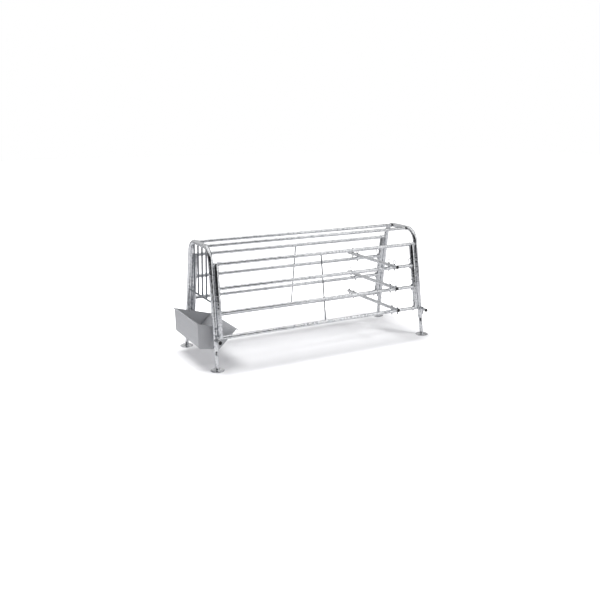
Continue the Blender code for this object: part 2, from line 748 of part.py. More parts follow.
def bar_height(rail):
    """Return the height of the axis of the retaining bar that lies on a rail."""
    return RAIL_HEIGHTS[rail] + RAIL_D / 2 + TOUCH_GAP + BAR_D / 2


def bar_end_y(rail, side):
    """Return where a retaining bar ends, past the bottom rail, or short of that on the near side."""
    reach = leg_y(RAIL_HEIGHTS["bottom"]) + BAR_OVERHANG
    if side == SIDES["near"]:
        reach -= BAR_NEAR_CUTBACKS[rail]
    return side * reach


def bar_outer_pin_y(rail, side):
    """Return where a bar's outer pin stands, clear of the plug's spigot."""
    plug_end = abs(bar_end_y(rail, side)) - PLUG_SPIGOT_LENGTH
    furthest = plug_end - BAR_OUTER_PIN_FROM_PLUG - PIN_SHANK_D / 2
    return side * min(leg_y(RAIL_HEIGHTS[rail]) + BAR_OUTER_PIN_OUTSET, furthest)


def build_bar(rail, collection):
    """Build a retaining bar, drilled for its lock pins and its outer pins."""
    height = bar_height(rail)
    near_end, far_end = (bar_end_y(rail, side) for side in SIDES.values())
    bar = rod([(BAR_X, near_end, height), (BAR_X, far_end, height)], BAR_D)
    bore_ends = [(BAR_X, near_end - BAR_D, height), (BAR_X, far_end + BAR_D, height)]
    cut(bar, rod(bore_ends, BAR_D - 2 * BAR_WALL, BORE_SIDES))
    for side in SIDES.values():
        for y in (side * leg_y(RAIL_HEIGHTS[rail]), bar_outer_pin_y(rail, side)):
            cut(bar, upright_hole(BAR_X, y, height, BAR_D * 2))
    origin = (BAR_X, 0.0, height)
    return finish_piece(bar, "retaining_bar_" + rail, "galvanised_tube", collection, origin=origin)


def build_bar_plug(rail, side_name, bar, collection):
    """Build the plug that closes an end of a retaining bar."""
    side = SIDES[side_name]
    head_radius = BAR_D / 2
    bore_flat_radius = (BAR_D / 2 - BAR_WALL) * math.cos(math.pi / BORE_SIDES)
    spigot_radius = bore_flat_radius - PLUG_SPIGOT_PLAY
    top = TOUCH_GAP + PLUG_HEAD_THICKNESS
    profile = [
        (0.0, top),
        (head_radius - PLUG_EDGE, top),
        (head_radius, top - PLUG_EDGE),
        (head_radius, TOUCH_GAP),
        (spigot_radius, TOUCH_GAP),
        (spigot_radius, TOUCH_GAP - PLUG_SPIGOT_LENGTH),
        (0.0, TOUCH_GAP - PLUG_SPIGOT_LENGTH),
    ]
    origin = (BAR_X, bar_end_y(rail, side), bar_height(rail))
    plug = place(turned(profile), origin, Matrix.Rotation(-side * math.pi / 2, 4, "X"))
    name = "bar_plug_" + rail + "_" + side_name
    return finish_piece(plug, name, "black_plastic", collection, origin=origin, parent=bar)


def ring_pin(length, ring_d):
    """Return a ring pin that hangs from the origin by its shoulder, with its ring in the YZ plane."""
    shank = PIN_SHANK_D / 2
    shoulder = PIN_SHOULDER_D / 2
    top = TOUCH_GAP + PIN_SHOULDER_HEIGHT
    profile = [
        (0.0, top + PIN_WIRE_D / 2),
        (shoulder, top),
        (shoulder, TOUCH_GAP),
        (shank, TOUCH_GAP),
        (shank, PIN_TIP_LENGTH - length),
        (shank / 2, -length),
        (0.0, -length),
    ]
    pin = turned(profile, PIN_STEPS)
    return join(pin, place(ring(ring_d, PIN_WIRE_D), (0.0, 0.0, top + ring_d / 2)))


def build_pin(family, place_name, seat, tube_depth, collection, parent=None):
    """Build a ring pin of a family at its seat, through tubes of a depth and out below them."""
    sizes = PIN_FAMILIES[family]
    pin = ring_pin(tube_depth + sizes["tail"], sizes["ring_d"])
    place(pin, seat, Matrix.Rotation(sizes["turn"], 4, "Z"))
    name = family + "_" + place_name
    return finish_piece(pin, name, "zinc_plated_pin", collection, origin=seat, parent=parent)


def build_bar_set(rail, collection):
    """Build a retaining bar with its plugs, lock pins and outer pins."""
    bar = build_bar(rail, collection)
    top = bar_height(rail) + BAR_D / 2
    for side_name, side in SIDES.items():
        place_name = rail + "_" + side_name
        build_bar_plug(rail, side_name, bar, collection)
        lock_seat = (BAR_X, side * leg_y(RAIL_HEIGHTS[rail]), top)
        build_pin("lock_pin", place_name, lock_seat, BAR_D + RAIL_D, collection, bar)
        outer_seat = (BAR_X, bar_outer_pin_y(rail, side), top)
        build_pin("bar_pin", place_name, outer_seat, BAR_D, collection, bar)


def build_rail_pin(rail, side_name, collection):
    """Build the ring pin that stands in a rail just ahead of the rear post."""
    height = RAIL_HEIGHTS[rail]
    seat = (RAIL_PIN_X, SIDES[side_name] * leg_y(height), height + RAIL_D / 2)
    build_pin("rail_pin", rail + "_" + side_name, seat, RAIL_D, collection)


def main():
    """Build the whole crate."""
    clear_scene()
    collection = make_collection()
    for end in ARCH_X:
        build_arch(end, collection)
        for side_name in SIDES:
            build_foot(end, side_name, collection)
            build_lock_screw(end, side_name, collection)
            build_post(end, side_name, collection)
    for side_name in SIDES:
        for rail in RAIL_NAMES:
            build_rail(side_name, rail, collection)
        build_tie_rod(side_name, collection)
        build_top_tube(side_name, collection)
        for level in TROUGH_BOLT_HEIGHTS:
            build_trough_bolt(level, side_name, collection)
    build_head_grille(collection)
    build_trough(collection)
    for rail in BAR_RAILS:
        build_bar_set(rail, collection)
        for side_name in SIDES:
            build_rail_pin(rail, side_name, collection)


main()
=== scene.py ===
"""Studio scene of a galvanised farrowing crate with its folded feeding trough.

The crate's lines come from the loaded frame: +X runs along the crate from the trough to the
rear arch, the near side is -Y, and Z is up. Sizes are in metres. Each class below builds one
sub-assembly as finished pieces and dresses them with the finish that the real one has.
"""

from __future__ import annotations

import logging
import math
from collections.abc import Iterable, Mapping, Sequence
from dataclasses import dataclass, field
from enum import Enum
from functools import cache

import bmesh
import bpy
from bmesh.types import BMEdge, BMesh, BMVert
from bpy.types import Material, Node, NodeSocket, NodeTree, Object
from mathutils import Matrix, Vector


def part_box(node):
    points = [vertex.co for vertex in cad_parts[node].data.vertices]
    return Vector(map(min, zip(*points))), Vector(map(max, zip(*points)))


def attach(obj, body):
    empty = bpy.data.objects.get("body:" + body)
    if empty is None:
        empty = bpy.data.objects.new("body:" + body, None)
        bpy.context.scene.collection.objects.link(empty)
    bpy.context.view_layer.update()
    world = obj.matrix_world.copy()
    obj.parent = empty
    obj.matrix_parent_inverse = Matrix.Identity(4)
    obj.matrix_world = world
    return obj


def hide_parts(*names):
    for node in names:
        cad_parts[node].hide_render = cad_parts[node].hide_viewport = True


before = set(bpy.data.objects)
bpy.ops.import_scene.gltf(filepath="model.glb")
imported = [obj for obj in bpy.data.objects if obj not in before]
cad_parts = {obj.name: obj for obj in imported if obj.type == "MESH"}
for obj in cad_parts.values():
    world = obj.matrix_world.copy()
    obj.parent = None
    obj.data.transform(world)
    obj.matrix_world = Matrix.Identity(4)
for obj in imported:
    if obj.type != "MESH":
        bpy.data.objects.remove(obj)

LOG = logging.getLogger("farrowing_crate")
MM = 0.001
SHARP_ANGLE = math.radians(32)
MERGE_REACH = 0.002 * MM  # Turned points closer than this become one.
FLAT_REACH = 0.01 * MM  # Points closer than this lie in one plane.
WIRE_SIDES = 12
WHITE = (1.0, 1.0, 1.0, 1.0)
ALONG, ACROSS, UP = Vector((1.0, 0.0, 0.0)), Vector((0.0, 1.0, 0.0)), Vector((0.0, 0.0, 1.0))
Span = tuple[float, float]
Triple = tuple[float, float, float]
Colour = tuple[float, float, float, float]
Profile = list[Span]


class Labelled(Enum):
    """A choice whose name is also used in node names."""

    @property
    def label(self) -> str:
        """The name in node names."""
        return self.name.lower()


class Side(Labelled):
    """The crate's two long sides, each with the sign of its Y."""

    NEAR = -1
    FAR = 1

    def outwards(self, length: float = 1.0) -> Vector:
        """Return a step across the crate, away from its middle."""
        return Vector((0.0, self.value * length, 0.0))


class End(Labelled):
    """The crate's two ends, each with the direction in which it faces along X."""

    FRONT = -1
    REAR = 1

    def outwards(self, length: float = 1.0) -> Vector:
        """Return a step along the crate, away from its middle."""
        return Vector((self.value * length, 0.0, 0.0))


class Rail(Labelled):
    """The four side rails, from the lowest up."""

    BOTTOM = 0
    LOWER = 1
    UPPER = 2
    TOP = 3

    @property
    def meets_legs(self) -> bool:
        """Whether the rail's ends meet the legs, and not the posts."""
        return self in (Rail.BOTTOM, Rail.TOP)

    @property
    def carries_bar(self) -> bool:
        """Whether a retaining bar lies on the rail."""
        return self is not Rail.TOP


# Node trees


def linear(hex_colour: str) -> Colour:
    """Turn an sRGB hex colour into linear light.

    Args:
        hex_colour: Six hex digits after a hash sign.

    Returns:
        Red, green, blue and an alpha of one.
    """
    digits = hex_colour.lstrip("#")
    shares = (int(digits[place : place + 2], 16) / 255 for place in (0, 2, 4))
    return *(c / 12.92 if c <= 0.04045 else ((c + 0.055) / 1.055) ** 2.4 for c in shares), 1.0


def feed(node: Node, inputs: Mapping | Sequence) -> Node:
    """Give a node's inputs their values and links.

    Args:
        node: The node.
        inputs: For each input, by name or number or in order, its value, the output that feeds
            it, or the node whose first output does.

    Returns:
        The same node.
    """
    for key, value in inputs.items() if isinstance(inputs, Mapping) else enumerate(inputs):
        source = value.outputs[0] if isinstance(value, Node) else value
        if isinstance(source, NodeSocket):
            node.id_data.links.new(source, node.inputs[key])
        else:
            node.inputs[key].default_value = source
    return node


def add_node(
    tree: NodeTree,
    kind: str,
    inputs: Mapping | Sequence = (),
    stops: dict[float, str] | None = None,
    **settings,
) -> Node:
    """Add a node to a tree, with its settings, values and links.

    Args:
        tree: The node tree.
        kind: The node's type without its prefix, such as TexNoise.
        inputs: What its inputs get, as feed takes it.
        stops: A colour ramp's hex colours by their place on it.
        settings: The node's own properties.

    Returns:
        The new node.
    """
    node = tree.nodes.new(f"ShaderNode{kind}")
    for name, value in settings.items():
        setattr(node, name, value)
    if stops:
        places, elements = sorted(stops), node.color_ramp.elements
        elements[0].position, elements[1].position = places[0], places[-1]
        for place in places[1:-1]:
            elements.new(place)
        for element, place in zip(elements, places):
            element.color = linear(stops[place])
    return feed(node, inputs)


def mix_colours(
    tree: NodeTree,
    share: Node | NodeSocket,
    first: Node | NodeSocket | Colour,
    second: NodeSocket | Colour,
) -> NodeSocket:
    """Mix two colours, through the sockets that a mix node keeps for colours.

    Args:
        tree: The node tree.
        share: What gives the second colour's share.
        first: The first colour, or what gives it.
        second: The second colour, or what gives it.

    Returns:
        The mixed colour.
    """
    first_in, second_in, colour_out = 6, 7, 2
    inputs = {"Factor": share, first_in: first, second_in: second}
    return add_node(tree, "Mix", inputs, data_type="RGBA").outputs[colour_out]


def new_material(name: str) -> tuple[Material, NodeTree, Node]:
    """Start a material.

    Args:
        name: The material's name.

    Returns:
        The material, its node tree and its principled shader.
    """
    material = bpy.data.materials.new(name)
    material.use_nodes = True
    return material, material.node_tree, material.node_tree.nodes["Principled BSDF"]


def per_metre(size_mm: float) -> float:
    """Return the scale of a pattern whose features have a size in millimetres."""
    return 1 / (size_mm * MM)


# Finishes


@dataclass(frozen=True)
class HotDipGalvanised:
    """Welded steel tube dipped in molten zinc: bright, wavy metal, faint crystals, dull patches.

    The zinc runs off unevenly, so its long waves bend reflections along a tube, and crystals
    a few millimetres wide differ slightly in brightness and gloss.
    """

    name: str = "hot_dip_galvanised_tube"
    bright: str = "#f2f3f5"
    dull: str = "#b8bbbf"
    patch: str = "#959a9f"
    wave_mm: float = 26.0
    wave_depth_mm: float = 2.4
    crystal_mm: float = 9.0
    dull_crystals: float = 0.35
    patch_mm: float = 16.0
    patch_edge: Span = (0.50, 0.70)
    patch_strength: float = 0.6
    grit_depth_mm: float = 0.12
    gloss_span: Span = (0.35, 0.65)
    gloss: Span = (0.12, 0.24)

    def surface(self, tree: NodeTree, place: NodeSocket) -> dict:
        """Build the zinc's nodes.

        Args:
            tree: The material's node tree.
            place: The object's own coordinates.

        Returns:
            What feeds the shader.
        """
        wave = {"Vector": place, "Scale": per_metre(self.wave_mm), "Detail": 3.0}
        waves = add_node(tree, "TexNoise", wave)
        crystals = add_node(
            tree, "TexVoronoi", {"Vector": place, "Scale": per_metre(self.crystal_mm)}
        )
        blotch = {"Vector": place, "Scale": per_metre(self.patch_mm), "Detail": 4.0}
        patches = add_node(tree, "TexNoise", {**blotch, "Roughness": 0.6})
        crystal = add_node(tree, "SeparateColor", (crystals.outputs["Color"],))
        tones = {0.0: self.dull, self.dull_crystals: self.bright, 1.0: self.bright}
        zinc = add_node(tree, "ValToRGB", (crystal,), tones)
        worn = add_node(tree, "MapRange", (patches, *self.patch_edge, 0.0, self.patch_strength))
        stained = mix_colours(tree, worn, zinc, linear(self.patch))
        deep = {"Height": waves, "Distance": self.wave_depth_mm * MM}
        relief = add_node(tree, "Bump", deep)
        fine = {"Height": patches, "Distance": self.grit_depth_mm * MM, "Normal": relief}
        return {
            "Base Color": stained,
            "Roughness": add_node(tree, "MapRange", (patches, *self.gloss_span, *self.gloss)),
            "Normal": add_node(tree, "Bump", fine),
            "Metallic": 1.0,
        }


@dataclass(frozen=True)
class MattRolledSheet:
    """Cold rolled steel sheet with a dull pickled skin: flat mid grey, with faint rolling grain.

    Its skin scatters most light, so a wall shows one even tone and only a broad soft sheen. Grain
    far finer than a pixel is drawn a few millimetres wide, so that it shows as soft streaks.
    """

    name: str = "matt_rolled_sheet"
    light: str = "#c2c3c6"
    dark: str = "#b3b4b7"
    grain_mm: float = 2.5
    grain_length_mm: float = 160.0
    grain_depth_mm: float = 0.02
    grain_span: Span = (0.3, 0.7)
    dent_mm: float = 170.0
    dent_depth_mm: float = 0.7
    gloss: Span = (0.46, 0.54)
    metallic: float = 0.35

    def surface(self, tree: NodeTree, place: NodeSocket) -> dict:
        """Build the sheet's nodes.

        Args:
            tree: The material's node tree.
            place: The object's own coordinates.

        Returns:
            What feeds the shader.
        """
        across, along = per_metre(self.grain_mm), per_metre(self.grain_length_mm)
        stretched = add_node(tree, "Mapping", {"Vector": place, "Scale": (across, along, across)})
        grain = add_node(tree, "TexNoise", {"Vector": stretched, "Scale": 1.0, "Detail": 3.0})
        dented = {"Vector": place, "Scale": per_metre(self.dent_mm), "Detail": 1.0}
        dents = add_node(tree, "TexNoise", dented)
        deep = {"Height": dents, "Distance": self.dent_depth_mm * MM}
        buckle = add_node(tree, "Bump", deep)
        fine = {"Height": grain, "Distance": self.grain_depth_mm * MM, "Normal": buckle}
        tones = dict(zip(self.grain_span, (self.dark, self.light)))
        return {
            "Base Color": add_node(tree, "ValToRGB", (grain,), tones),
            "Roughness": add_node(tree, "MapRange", (grain, *self.grain_span, *self.gloss)),
            "Normal": add_node(tree, "Bump", fine),
            "Metallic": self.metallic,
        }


@dataclass(frozen=True)
class ZincPlated:
    """Electroplated zinc on turned pins, bent wire and screws: thin, even, cool and scuffed."""

    name: str = "zinc_plated_steel"
    bright: str = "#a6a9ad"
    scuffed: str = "#73777c"
    scuff_mm: float = 5.0
    scuff_depth_mm: float = 0.05
    scuff_edge: Span = (0.35, 0.55)
    gloss_span: Span = (0.35, 0.65)
    gloss: Span = (0.40, 0.22)

    def surface(self, tree: NodeTree, place: NodeSocket) -> dict:
        """Build the plating's nodes.

        Args:
            tree: The material's node tree.
            place: The object's own coordinates.

        Returns:
            What feeds the shader.
        """
        scuff = {"Vector": place, "Scale": per_metre(self.scuff_mm), "Detail": 5.0}
        scuffs = add_node(tree, "TexNoise", {**scuff, "Roughness": 0.65})
        tones = dict(zip(self.scuff_edge, (self.scuffed, self.bright)))
        fine = {"Height": scuffs, "Distance": self.scuff_depth_mm * MM}
        return {
            "Base Color": add_node(tree, "ValToRGB", (scuffs,), tones),
            "Roughness": add_node(tree, "MapRange", (scuffs, *self.gloss_span, *self.gloss)),
            "Normal": add_node(tree, "Bump", fine),
            "Metallic": 1.0,
        }


@dataclass(frozen=True)
class MouldedPolyethylene:
    """Injection moulded black polyethylene plugs: deep black, with a fine spark-eroded grain."""

    name: str = "moulded_black_polyethylene"
    body: str = "#0c0c0d"
    rubbed: str = "#1b1b1c"
    rub_mm: float = 12.0
    rub_edge: Span = (0.45, 0.75)
    grain_mm: float = 0.8
    grain_depth_mm: float = 0.04
    roughness: float = 0.48
    ior: float = 1.51

    def surface(self, tree: NodeTree, place: NodeSocket) -> dict:
        """Build the plastic's nodes.

        Args:
            tree: The material's node tree.
            place: The object's own coordinates.

        Returns:
            What feeds the shader.
        """
        grained = {"Vector": place, "Scale": per_metre(self.grain_mm), "Detail": 2.0}
        grain = add_node(tree, "TexNoise", grained)
        worn = {"Vector": place, "Scale": per_metre(self.rub_mm), "Detail": 3.0}
        tones = dict(zip(self.rub_edge, (self.body, self.rubbed)))
        fine = {"Height": grain, "Distance": self.grain_depth_mm * MM}
        return {
            "Base Color": add_node(tree, "ValToRGB", (add_node(tree, "TexNoise", worn),), tones),
            "Normal": add_node(tree, "Bump", fine),
            "Roughness": self.roughness,
            "IOR": self.ior,
        }


class Finish(Enum):
    """The crate's finishes, each with the record's slot that it belongs to."""

    ZINC = (HotDipGalvanised(), "galvanised_tube")
    # Solid rod gets a darker, duller copy of the zinc, so it shows as a darker line.
    ROD_ZINC = (
        HotDipGalvanised(
            name="hot_dip_galvanised_rod",
            bright="#94989d",
            dull="#7a7e83",
            patch="#66696e",
            gloss=(0.30, 0.45),
        ),
        "galvanised_tube",
    )
    SHEET = (MattRolledSheet(), "stainless_sheet")
    PLATED = (ZincPlated(), "zinc_plate")
    # Ring pins are handled daily, so their plating has worn to a duller, darker grey.
    HANDLED = (
        ZincPlated("handled_zinc_plate", "#7d8084", "#54575b", gloss=(0.48, 0.30)),
        "zinc_plate",
    )
    PLASTIC = (MouldedPolyethylene(), "black_plastic")

    @property
    def slot(self) -> str:
        """The record's slot."""
        return self.value[1]

    @cache
    def material(self) -> Material:
        """Build the finish's material, once.

        Returns:
            The material.
        """
        look = self.value[0]
        material, tree, shader = new_material(look.name)
        feed(shader, look.surface(tree, add_node(tree, "TexCoord").outputs["Object"]))
        return material


# Shapes


@dataclass(frozen=True)
class Pipe:
    """A tube's outer diameter, its wall, and the sides that it is drawn with."""

    outer_d: float
    wall: float
    sides: int = 40

    @property
    def radius(self) -> float:
        """Half the outer diameter."""
        return self.outer_d / 2


LEG_PIPE = Pipe(0.0424, 0.0035, 48)
POST_PIPE = Pipe(0.0483, 0.0032, 48)
TOP_PIPE = Pipe(0.0300, 0.0026)
# Rails, stubs, feet and retaining bars are cut from one pipe.
RAIL_PIPE = Pipe(0.0337, 0.0032)


def placements(line: Sequence[Vector]) -> list[Matrix]:
    """Return a placement for each point of a line, with its Z along the line and no twist.

    Args:
        line: The points, at least two.

    Returns:
        One matrix for each point.
    """
    steps = [(after - before).normalized() for before, after in zip(line, line[1:])]
    bends = [(a + b).normalized() for a, b in zip(steps, steps[1:])]
    headings = [steps[0], *bends, steps[-1]]
    turn = headings[0].to_track_quat("Z", "Y")
    found = [Matrix.Translation(line[0]) @ turn.to_matrix().to_4x4()]
    for before, after, point in zip(headings, headings[1:], line[1:]):
        turn = before.rotation_difference(after) @ turn
        found.append(Matrix.Translation(point) @ turn.to_matrix().to_4x4())
    return found


def fresh_verts(grown: Iterable) -> list[BMVert]:
    """Return the vertices among what an operator made."""
    return [item for item in grown if isinstance(item, BMVert)]


def sweep(shape: BMesh, line: Sequence[Vector], radius: float, sides: int) -> tuple[list, list]:
    """Draw a circle along a line.

    Args:
        shape: The mesh that gets the skin.
        line: The points of the axis.
        radius: The circle's radius.
        sides: Its number of sides.

    Returns:
        The edges of the first and of the last circle.
    """
    places = placements(line)
    made = bmesh.ops.create_circle(shape, segments=sides, radius=radius, matrix=places[0])
    first = list({edge for vert in made["verts"] for edge in vert.link_edges})
    last = first
    for before, after in zip(places, places[1:]):
        grown = bmesh.ops.extrude_edge_only(shape, edges=last)["geom"]
        fresh = set(fresh_verts(grown))
        edges = [item for item in grown if isinstance(item, BMEdge)]
        last = [edge for edge in edges if set(edge.verts) <= fresh]
        bmesh.ops.transform(shape, matrix=after @ before.inverted(), verts=list(fresh))
    return first, last


def soften(shape: BMesh, edges: Iterable, width: float) -> None:
    """Round some edges.

    Args:
        shape: The mesh that has them.
        edges: The edges.
        width: How far the rounding reaches from each edge.
    """
    bmesh.ops.bevel(
        shape,
        geom=list(edges),
        offset=width,
        segments=2,
        profile=0.5,
        affect="EDGES",
        material=-1,
        clamp_overlap=True,
    )


def tube(line: Sequence[Vector], pipe: Pipe) -> BMesh:
    """Make an open tube along a line, with softened rims.

    Args:
        line: The points of its axis.
        pipe: What it is cut from.

    Returns:
        Its mesh.
    """
    rim_share = 0.2
    shape = bmesh.new()
    outer = sweep(shape, line, pipe.radius, pipe.sides)
    inner = sweep(shape, line, pipe.radius - pipe.wall, pipe.sides)
    for outside, inside in zip(outer, inner):
        bmesh.ops.bridge_loops(shape, edges=outside + inside)
    soften(shape, outer[0] + outer[1], pipe.wall * rim_share)
    return shape


def add_rod(shape: BMesh, line: Sequence[Vector], diameter: float, sides: int = 24) -> BMesh:
    """Add a solid rod along a line.

    Args:
        shape: The mesh that gets the rod.
        line: The points of its axis.
        diameter: Its diameter.
        sides: Its number of sides.

    Returns:
        The same mesh.
    """
    for loop in sweep(shape, line, diameter / 2, sides):
        bmesh.ops.holes_fill(shape, edges=loop, sides=0)
    return shape


def turned(profile: Profile, placing: Matrix, steps: int = 40) -> BMesh:
    """Make a solid turned about its Z axis.

    Args:
        profile: Radius and height of each point, from the axis at one end to the axis at the other.
        placing: Where the solid goes.
        steps: The number of steps round it.

    Returns:
        Its mesh.
    """
    shape = bmesh.new()
    points = [shape.verts.new((radius, 0.0, height)) for radius, height in profile]
    lines = [shape.edges.new(pair) for pair in zip(points, points[1:])]
    spin_round(shape, points + lines, placing, steps)
    return shape


def spin_round(shape: BMesh, geometry: list, placing: Matrix, steps: int) -> list[BMVert]:
    """Turn a profile fully about Z, close it and place it.

    Args:
        shape: The mesh that has the profile.
        geometry: The profile's points and edges.
        placing: Where the turned shape goes.
        steps: The number of steps round it.

    Returns:
        The vertices of the turned shape.
    """
    profile = set(geometry)
    before = {vert for vert in shape.verts if vert not in profile}
    bmesh.ops.spin(shape, geom=geometry, axis=UP, angle=math.tau, steps=steps, use_merge=True)
    made = [vert for vert in shape.verts if vert not in before]
    bmesh.ops.remove_doubles(shape, verts=made, dist=MERGE_REACH)
    made = [vert for vert in shape.verts if vert not in before]
    bmesh.ops.transform(shape, matrix=placing, verts=made)
    return made


def add_ring(
    shape: BMesh, diameter: float, wire_d: float, placing: Matrix, steps: int = 48
) -> list[BMVert]:
    """Add a closed ring of round wire about its Z axis.

    Args:
        shape: The mesh that gets the ring.
        diameter: The ring's outer diameter.
        wire_d: The wire's diameter.
        placing: Where the ring goes.
        steps: The number of steps round it.

    Returns:
        The ring's vertices.
    """
    aside = Matrix.Translation(((diameter - wire_d) / 2, 0.0, 0.0))
    section = aside @ Matrix.Rotation(math.pi / 2, 4, "X")
    made = bmesh.ops.create_circle(
        shape, segments=WIRE_SIDES, radius=wire_d / 2, matrix=section
    )["verts"]
    edges = list({edge for vert in made for edge in vert.link_edges})
    return spin_round(shape, made + edges, placing, steps)


def add_hexagon(shape: BMesh, across: float, height: float, placing: Matrix) -> None:
    """Add a hexagon head with a chamfered crown.

    Args:
        shape: The mesh that gets the head.
        across: Its width over the corners.
        height: Its height.
        placing: Its place, with the seat at the origin and Z outwards.
    """
    crown_share = 0.16
    made = bmesh.ops.create_cone(
        shape,
        cap_ends=True,
        segments=6,
        radius1=across / 2,
        radius2=across / 2,
        depth=height,
        matrix=placing @ Matrix.Translation(UP * (height / 2)),
    )
    top, outwards = placing @ (UP * height), (placing.to_3x3() @ UP).normalized()
    high = {vert for vert in made["verts"] if abs((vert.co - top).dot(outwards)) < FLAT_REACH}
    edges = {edge for vert in made["verts"] for edge in vert.link_edges}
    soften(shape, [edge for edge in edges if set(edge.verts) <= high], height * crown_share)


def rounded_line(corners: Sequence[Vector], radius: float, steps: int) -> list[Vector]:
    """Return the points of a line whose inner corners are rounded.

    Args:
        corners: The line's corners.
        radius: The radius of each bend.
        steps: The number of steps in each bend.

    Returns:
        The points of the rounded line.
    """
    points = [corners[0].copy()]
    for before, corner, after in zip(corners, corners[1:], corners[2:]):
        arriving = (before - corner).normalized()
        leaving = (after - corner).normalized()
        half_angle = arriving.angle(leaving) / 2
        centre = corner + (arriving + leaving).normalized() * (radius / math.sin(half_angle))
        reach = radius / math.tan(half_angle)
        start = (corner + arriving * reach - centre).normalized()
        end = (corner + leaving * reach - centre).normalized()
        points += [centre + start.slerp(end, step / steps) * radius for step in range(steps + 1)]
    return points + [corners[-1].copy()]


def facing(point: Vector, direction: Vector) -> Matrix:
    """Return a placement at a point with its Z along a direction."""
    return Matrix.Translation(point) @ direction.to_track_quat("Z", "Y").to_matrix().to_4x4()


def plain_object(name: str, shape: BMesh) -> Object:
    """Put a shape into the scene as an object.

    Args:
        name: The object's name.
        shape: Its shape, which is used up.

    Returns:
        The object.
    """
    mesh = bpy.data.meshes.new(name)
    shape.to_mesh(mesh)
    shape.free()
    item = bpy.data.objects.new(name, mesh)
    bpy.context.scene.collection.objects.link(item)
    return item


@dataclass(frozen=True)
class Bar:
    """A straight or locally straight round member, as a weld needs it."""

    point: Vector
    direction: Vector
    radius: float

    def reach_from(self, start: Vector, heading: Vector) -> float:
        """Return how far a line runs before it meets this member's surface.

        Args:
            start: The line's start, near the member's axis.
            heading: The line's direction.

        Returns:
            The distance, or the nearest approach where the line misses the member.
        """
        along = self.direction.normalized()
        offset = start - self.point
        flat_offset = offset - along * offset.dot(along)
        flat_heading = heading - along * heading.dot(along)
        square = flat_heading.length_squared
        half = flat_offset.dot(flat_heading)
        rest = half * half - square * (flat_offset.length_squared - self.radius ** 2)
        return (-half + math.sqrt(max(rest, 0.0))) / square


@dataclass
class WeldRuns:
    """The fillet welds of one body, gathered into one piece.

    A run is a bead round a branch where it meets a main member. Its ripples are the puddles
    of the weld, blurred by the zinc.
    """

    bead_r: float = 3.2 * MM
    ripple_pitch: float = 4.5 * MM
    ripple_share: float = 0.16
    steps_per_ripple: int = 3
    fewest_steps: int = 28
    fewest_ripples: int = 5
    shape: BMesh = field(default_factory=bmesh.new)

    def round_joint(self, branch: Bar, main: Bar | None, bead_r: float | None = None) -> None:
        """Weld a branch to a main member, or to a flat face square to the branch.

        Args:
            branch: The branch, its direction pointing away from the main member.
            main: The member that it meets, or None for a flat face at the branch's point.
            bead_r: The bead's radius, where it isn't the usual one.
        """
        size = bead_r or self.bead_r
        girth = math.tau * branch.radius
        steps = max(self.fewest_steps, int(girth / (self.ripple_pitch / self.steps_per_ripple)))
        ripples = max(self.fewest_ripples, round(girth / self.ripple_pitch))
        placing, heading = facing(branch.point, branch.direction), branch.direction.normalized()
        run = bmesh.new()
        ring_d = 2 * (branch.radius + size)
        for vert in add_ring(run, ring_d, 2 * size, Matrix.Identity(4), steps):
            angle = math.atan2(vert.co.y, vert.co.x)
            middle = Vector((math.cos(angle), math.sin(angle), 0.0)) * branch.radius
            swell = 1.0 + self.ripple_share * math.sin(ripples * angle)
            spot = middle + (vert.co - middle) * swell
            shift = main.reach_from(placing @ middle, heading) if main else 0.0
            vert.co = placing @ spot + heading * shift
        bead = bpy.data.meshes.new("bead")
        run.to_mesh(bead)
        run.free()
        self.shape.from_mesh(bead)
        bpy.data.meshes.remove(bead)


# The crate's lines


def middle_of(node: str) -> Vector:
    """Return the middle of a node's box."""
    low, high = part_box(node)
    return (low + high) / 2


@dataclass(frozen=True)
class CrateLines:
    """The lines of the leaning frame that the sub-assemblies share.

    Pins, lock screws and the trough's bolts all have the same diameter.
    """

    foot_spread: float = 0.770
    leg_lean: float = 0.150
    arch_top_z: float = 1.0435
    corner_radius: float = 0.126
    leg_end_z: float = 0.165
    bore_play: float = 0.0006
    pin_d: float = 0.010
    pin_play: float = 0.0008
    lock_screw_z: float = 0.201
    trough_bolt_heights: Span = (0.360, 0.296)
    middle_z: float = 0.5
    weld_overlap: float = 0.4 * MM

    @property
    def across_leg(self) -> float:
        """Half a leg's width, measured level through its lean."""
        return LEG_PIPE.radius * math.hypot(1.0, self.leg_lean)

    def end_x(self, end: End) -> float:
        """Return where an arch stands."""
        return middle_of(f"{end.label}_arch").x

    def post_x(self, end: End) -> float:
        """Return where an end's posts stand."""
        return middle_of(f"post_{end.label}_near").x

    def rail_z(self, rail: Rail) -> float:
        """Return the height of a rail's axis."""
        return middle_of(f"rail_{rail.label}_near").z

    def leg_y(self, height: float) -> float:
        """Return the distance of the leg's axis from the middle at a height."""
        return self.foot_spread / 2 - self.leg_lean * height

    def leg_point(self, x: float, side: Side, height: float) -> Vector:
        """Return a point of the leaning plane that legs, rails and posts share."""
        return Vector((x, side.value * self.leg_y(height), height))

    def upwards(self, side: Side) -> Vector:
        """Return the direction in which a leg leans."""
        return Vector((0.0, -side.value * self.leg_lean, 1.0)).normalized()

    def standing(self, x: float, side: Side, pipe: Pipe) -> Bar:
        """Return a leg or a post as a member to weld to."""
        return Bar(self.leg_point(x, side, self.middle_z), self.upwards(side), pipe.radius)

    def rail(self, side: Side, rail: Rail) -> Bar:
        """Return a rail as a member to weld to."""
        return Bar(self.leg_point(0.0, side, self.rail_z(rail)), ALONG, RAIL_PIPE.radius)


LINES = CrateLines()


# Pieces


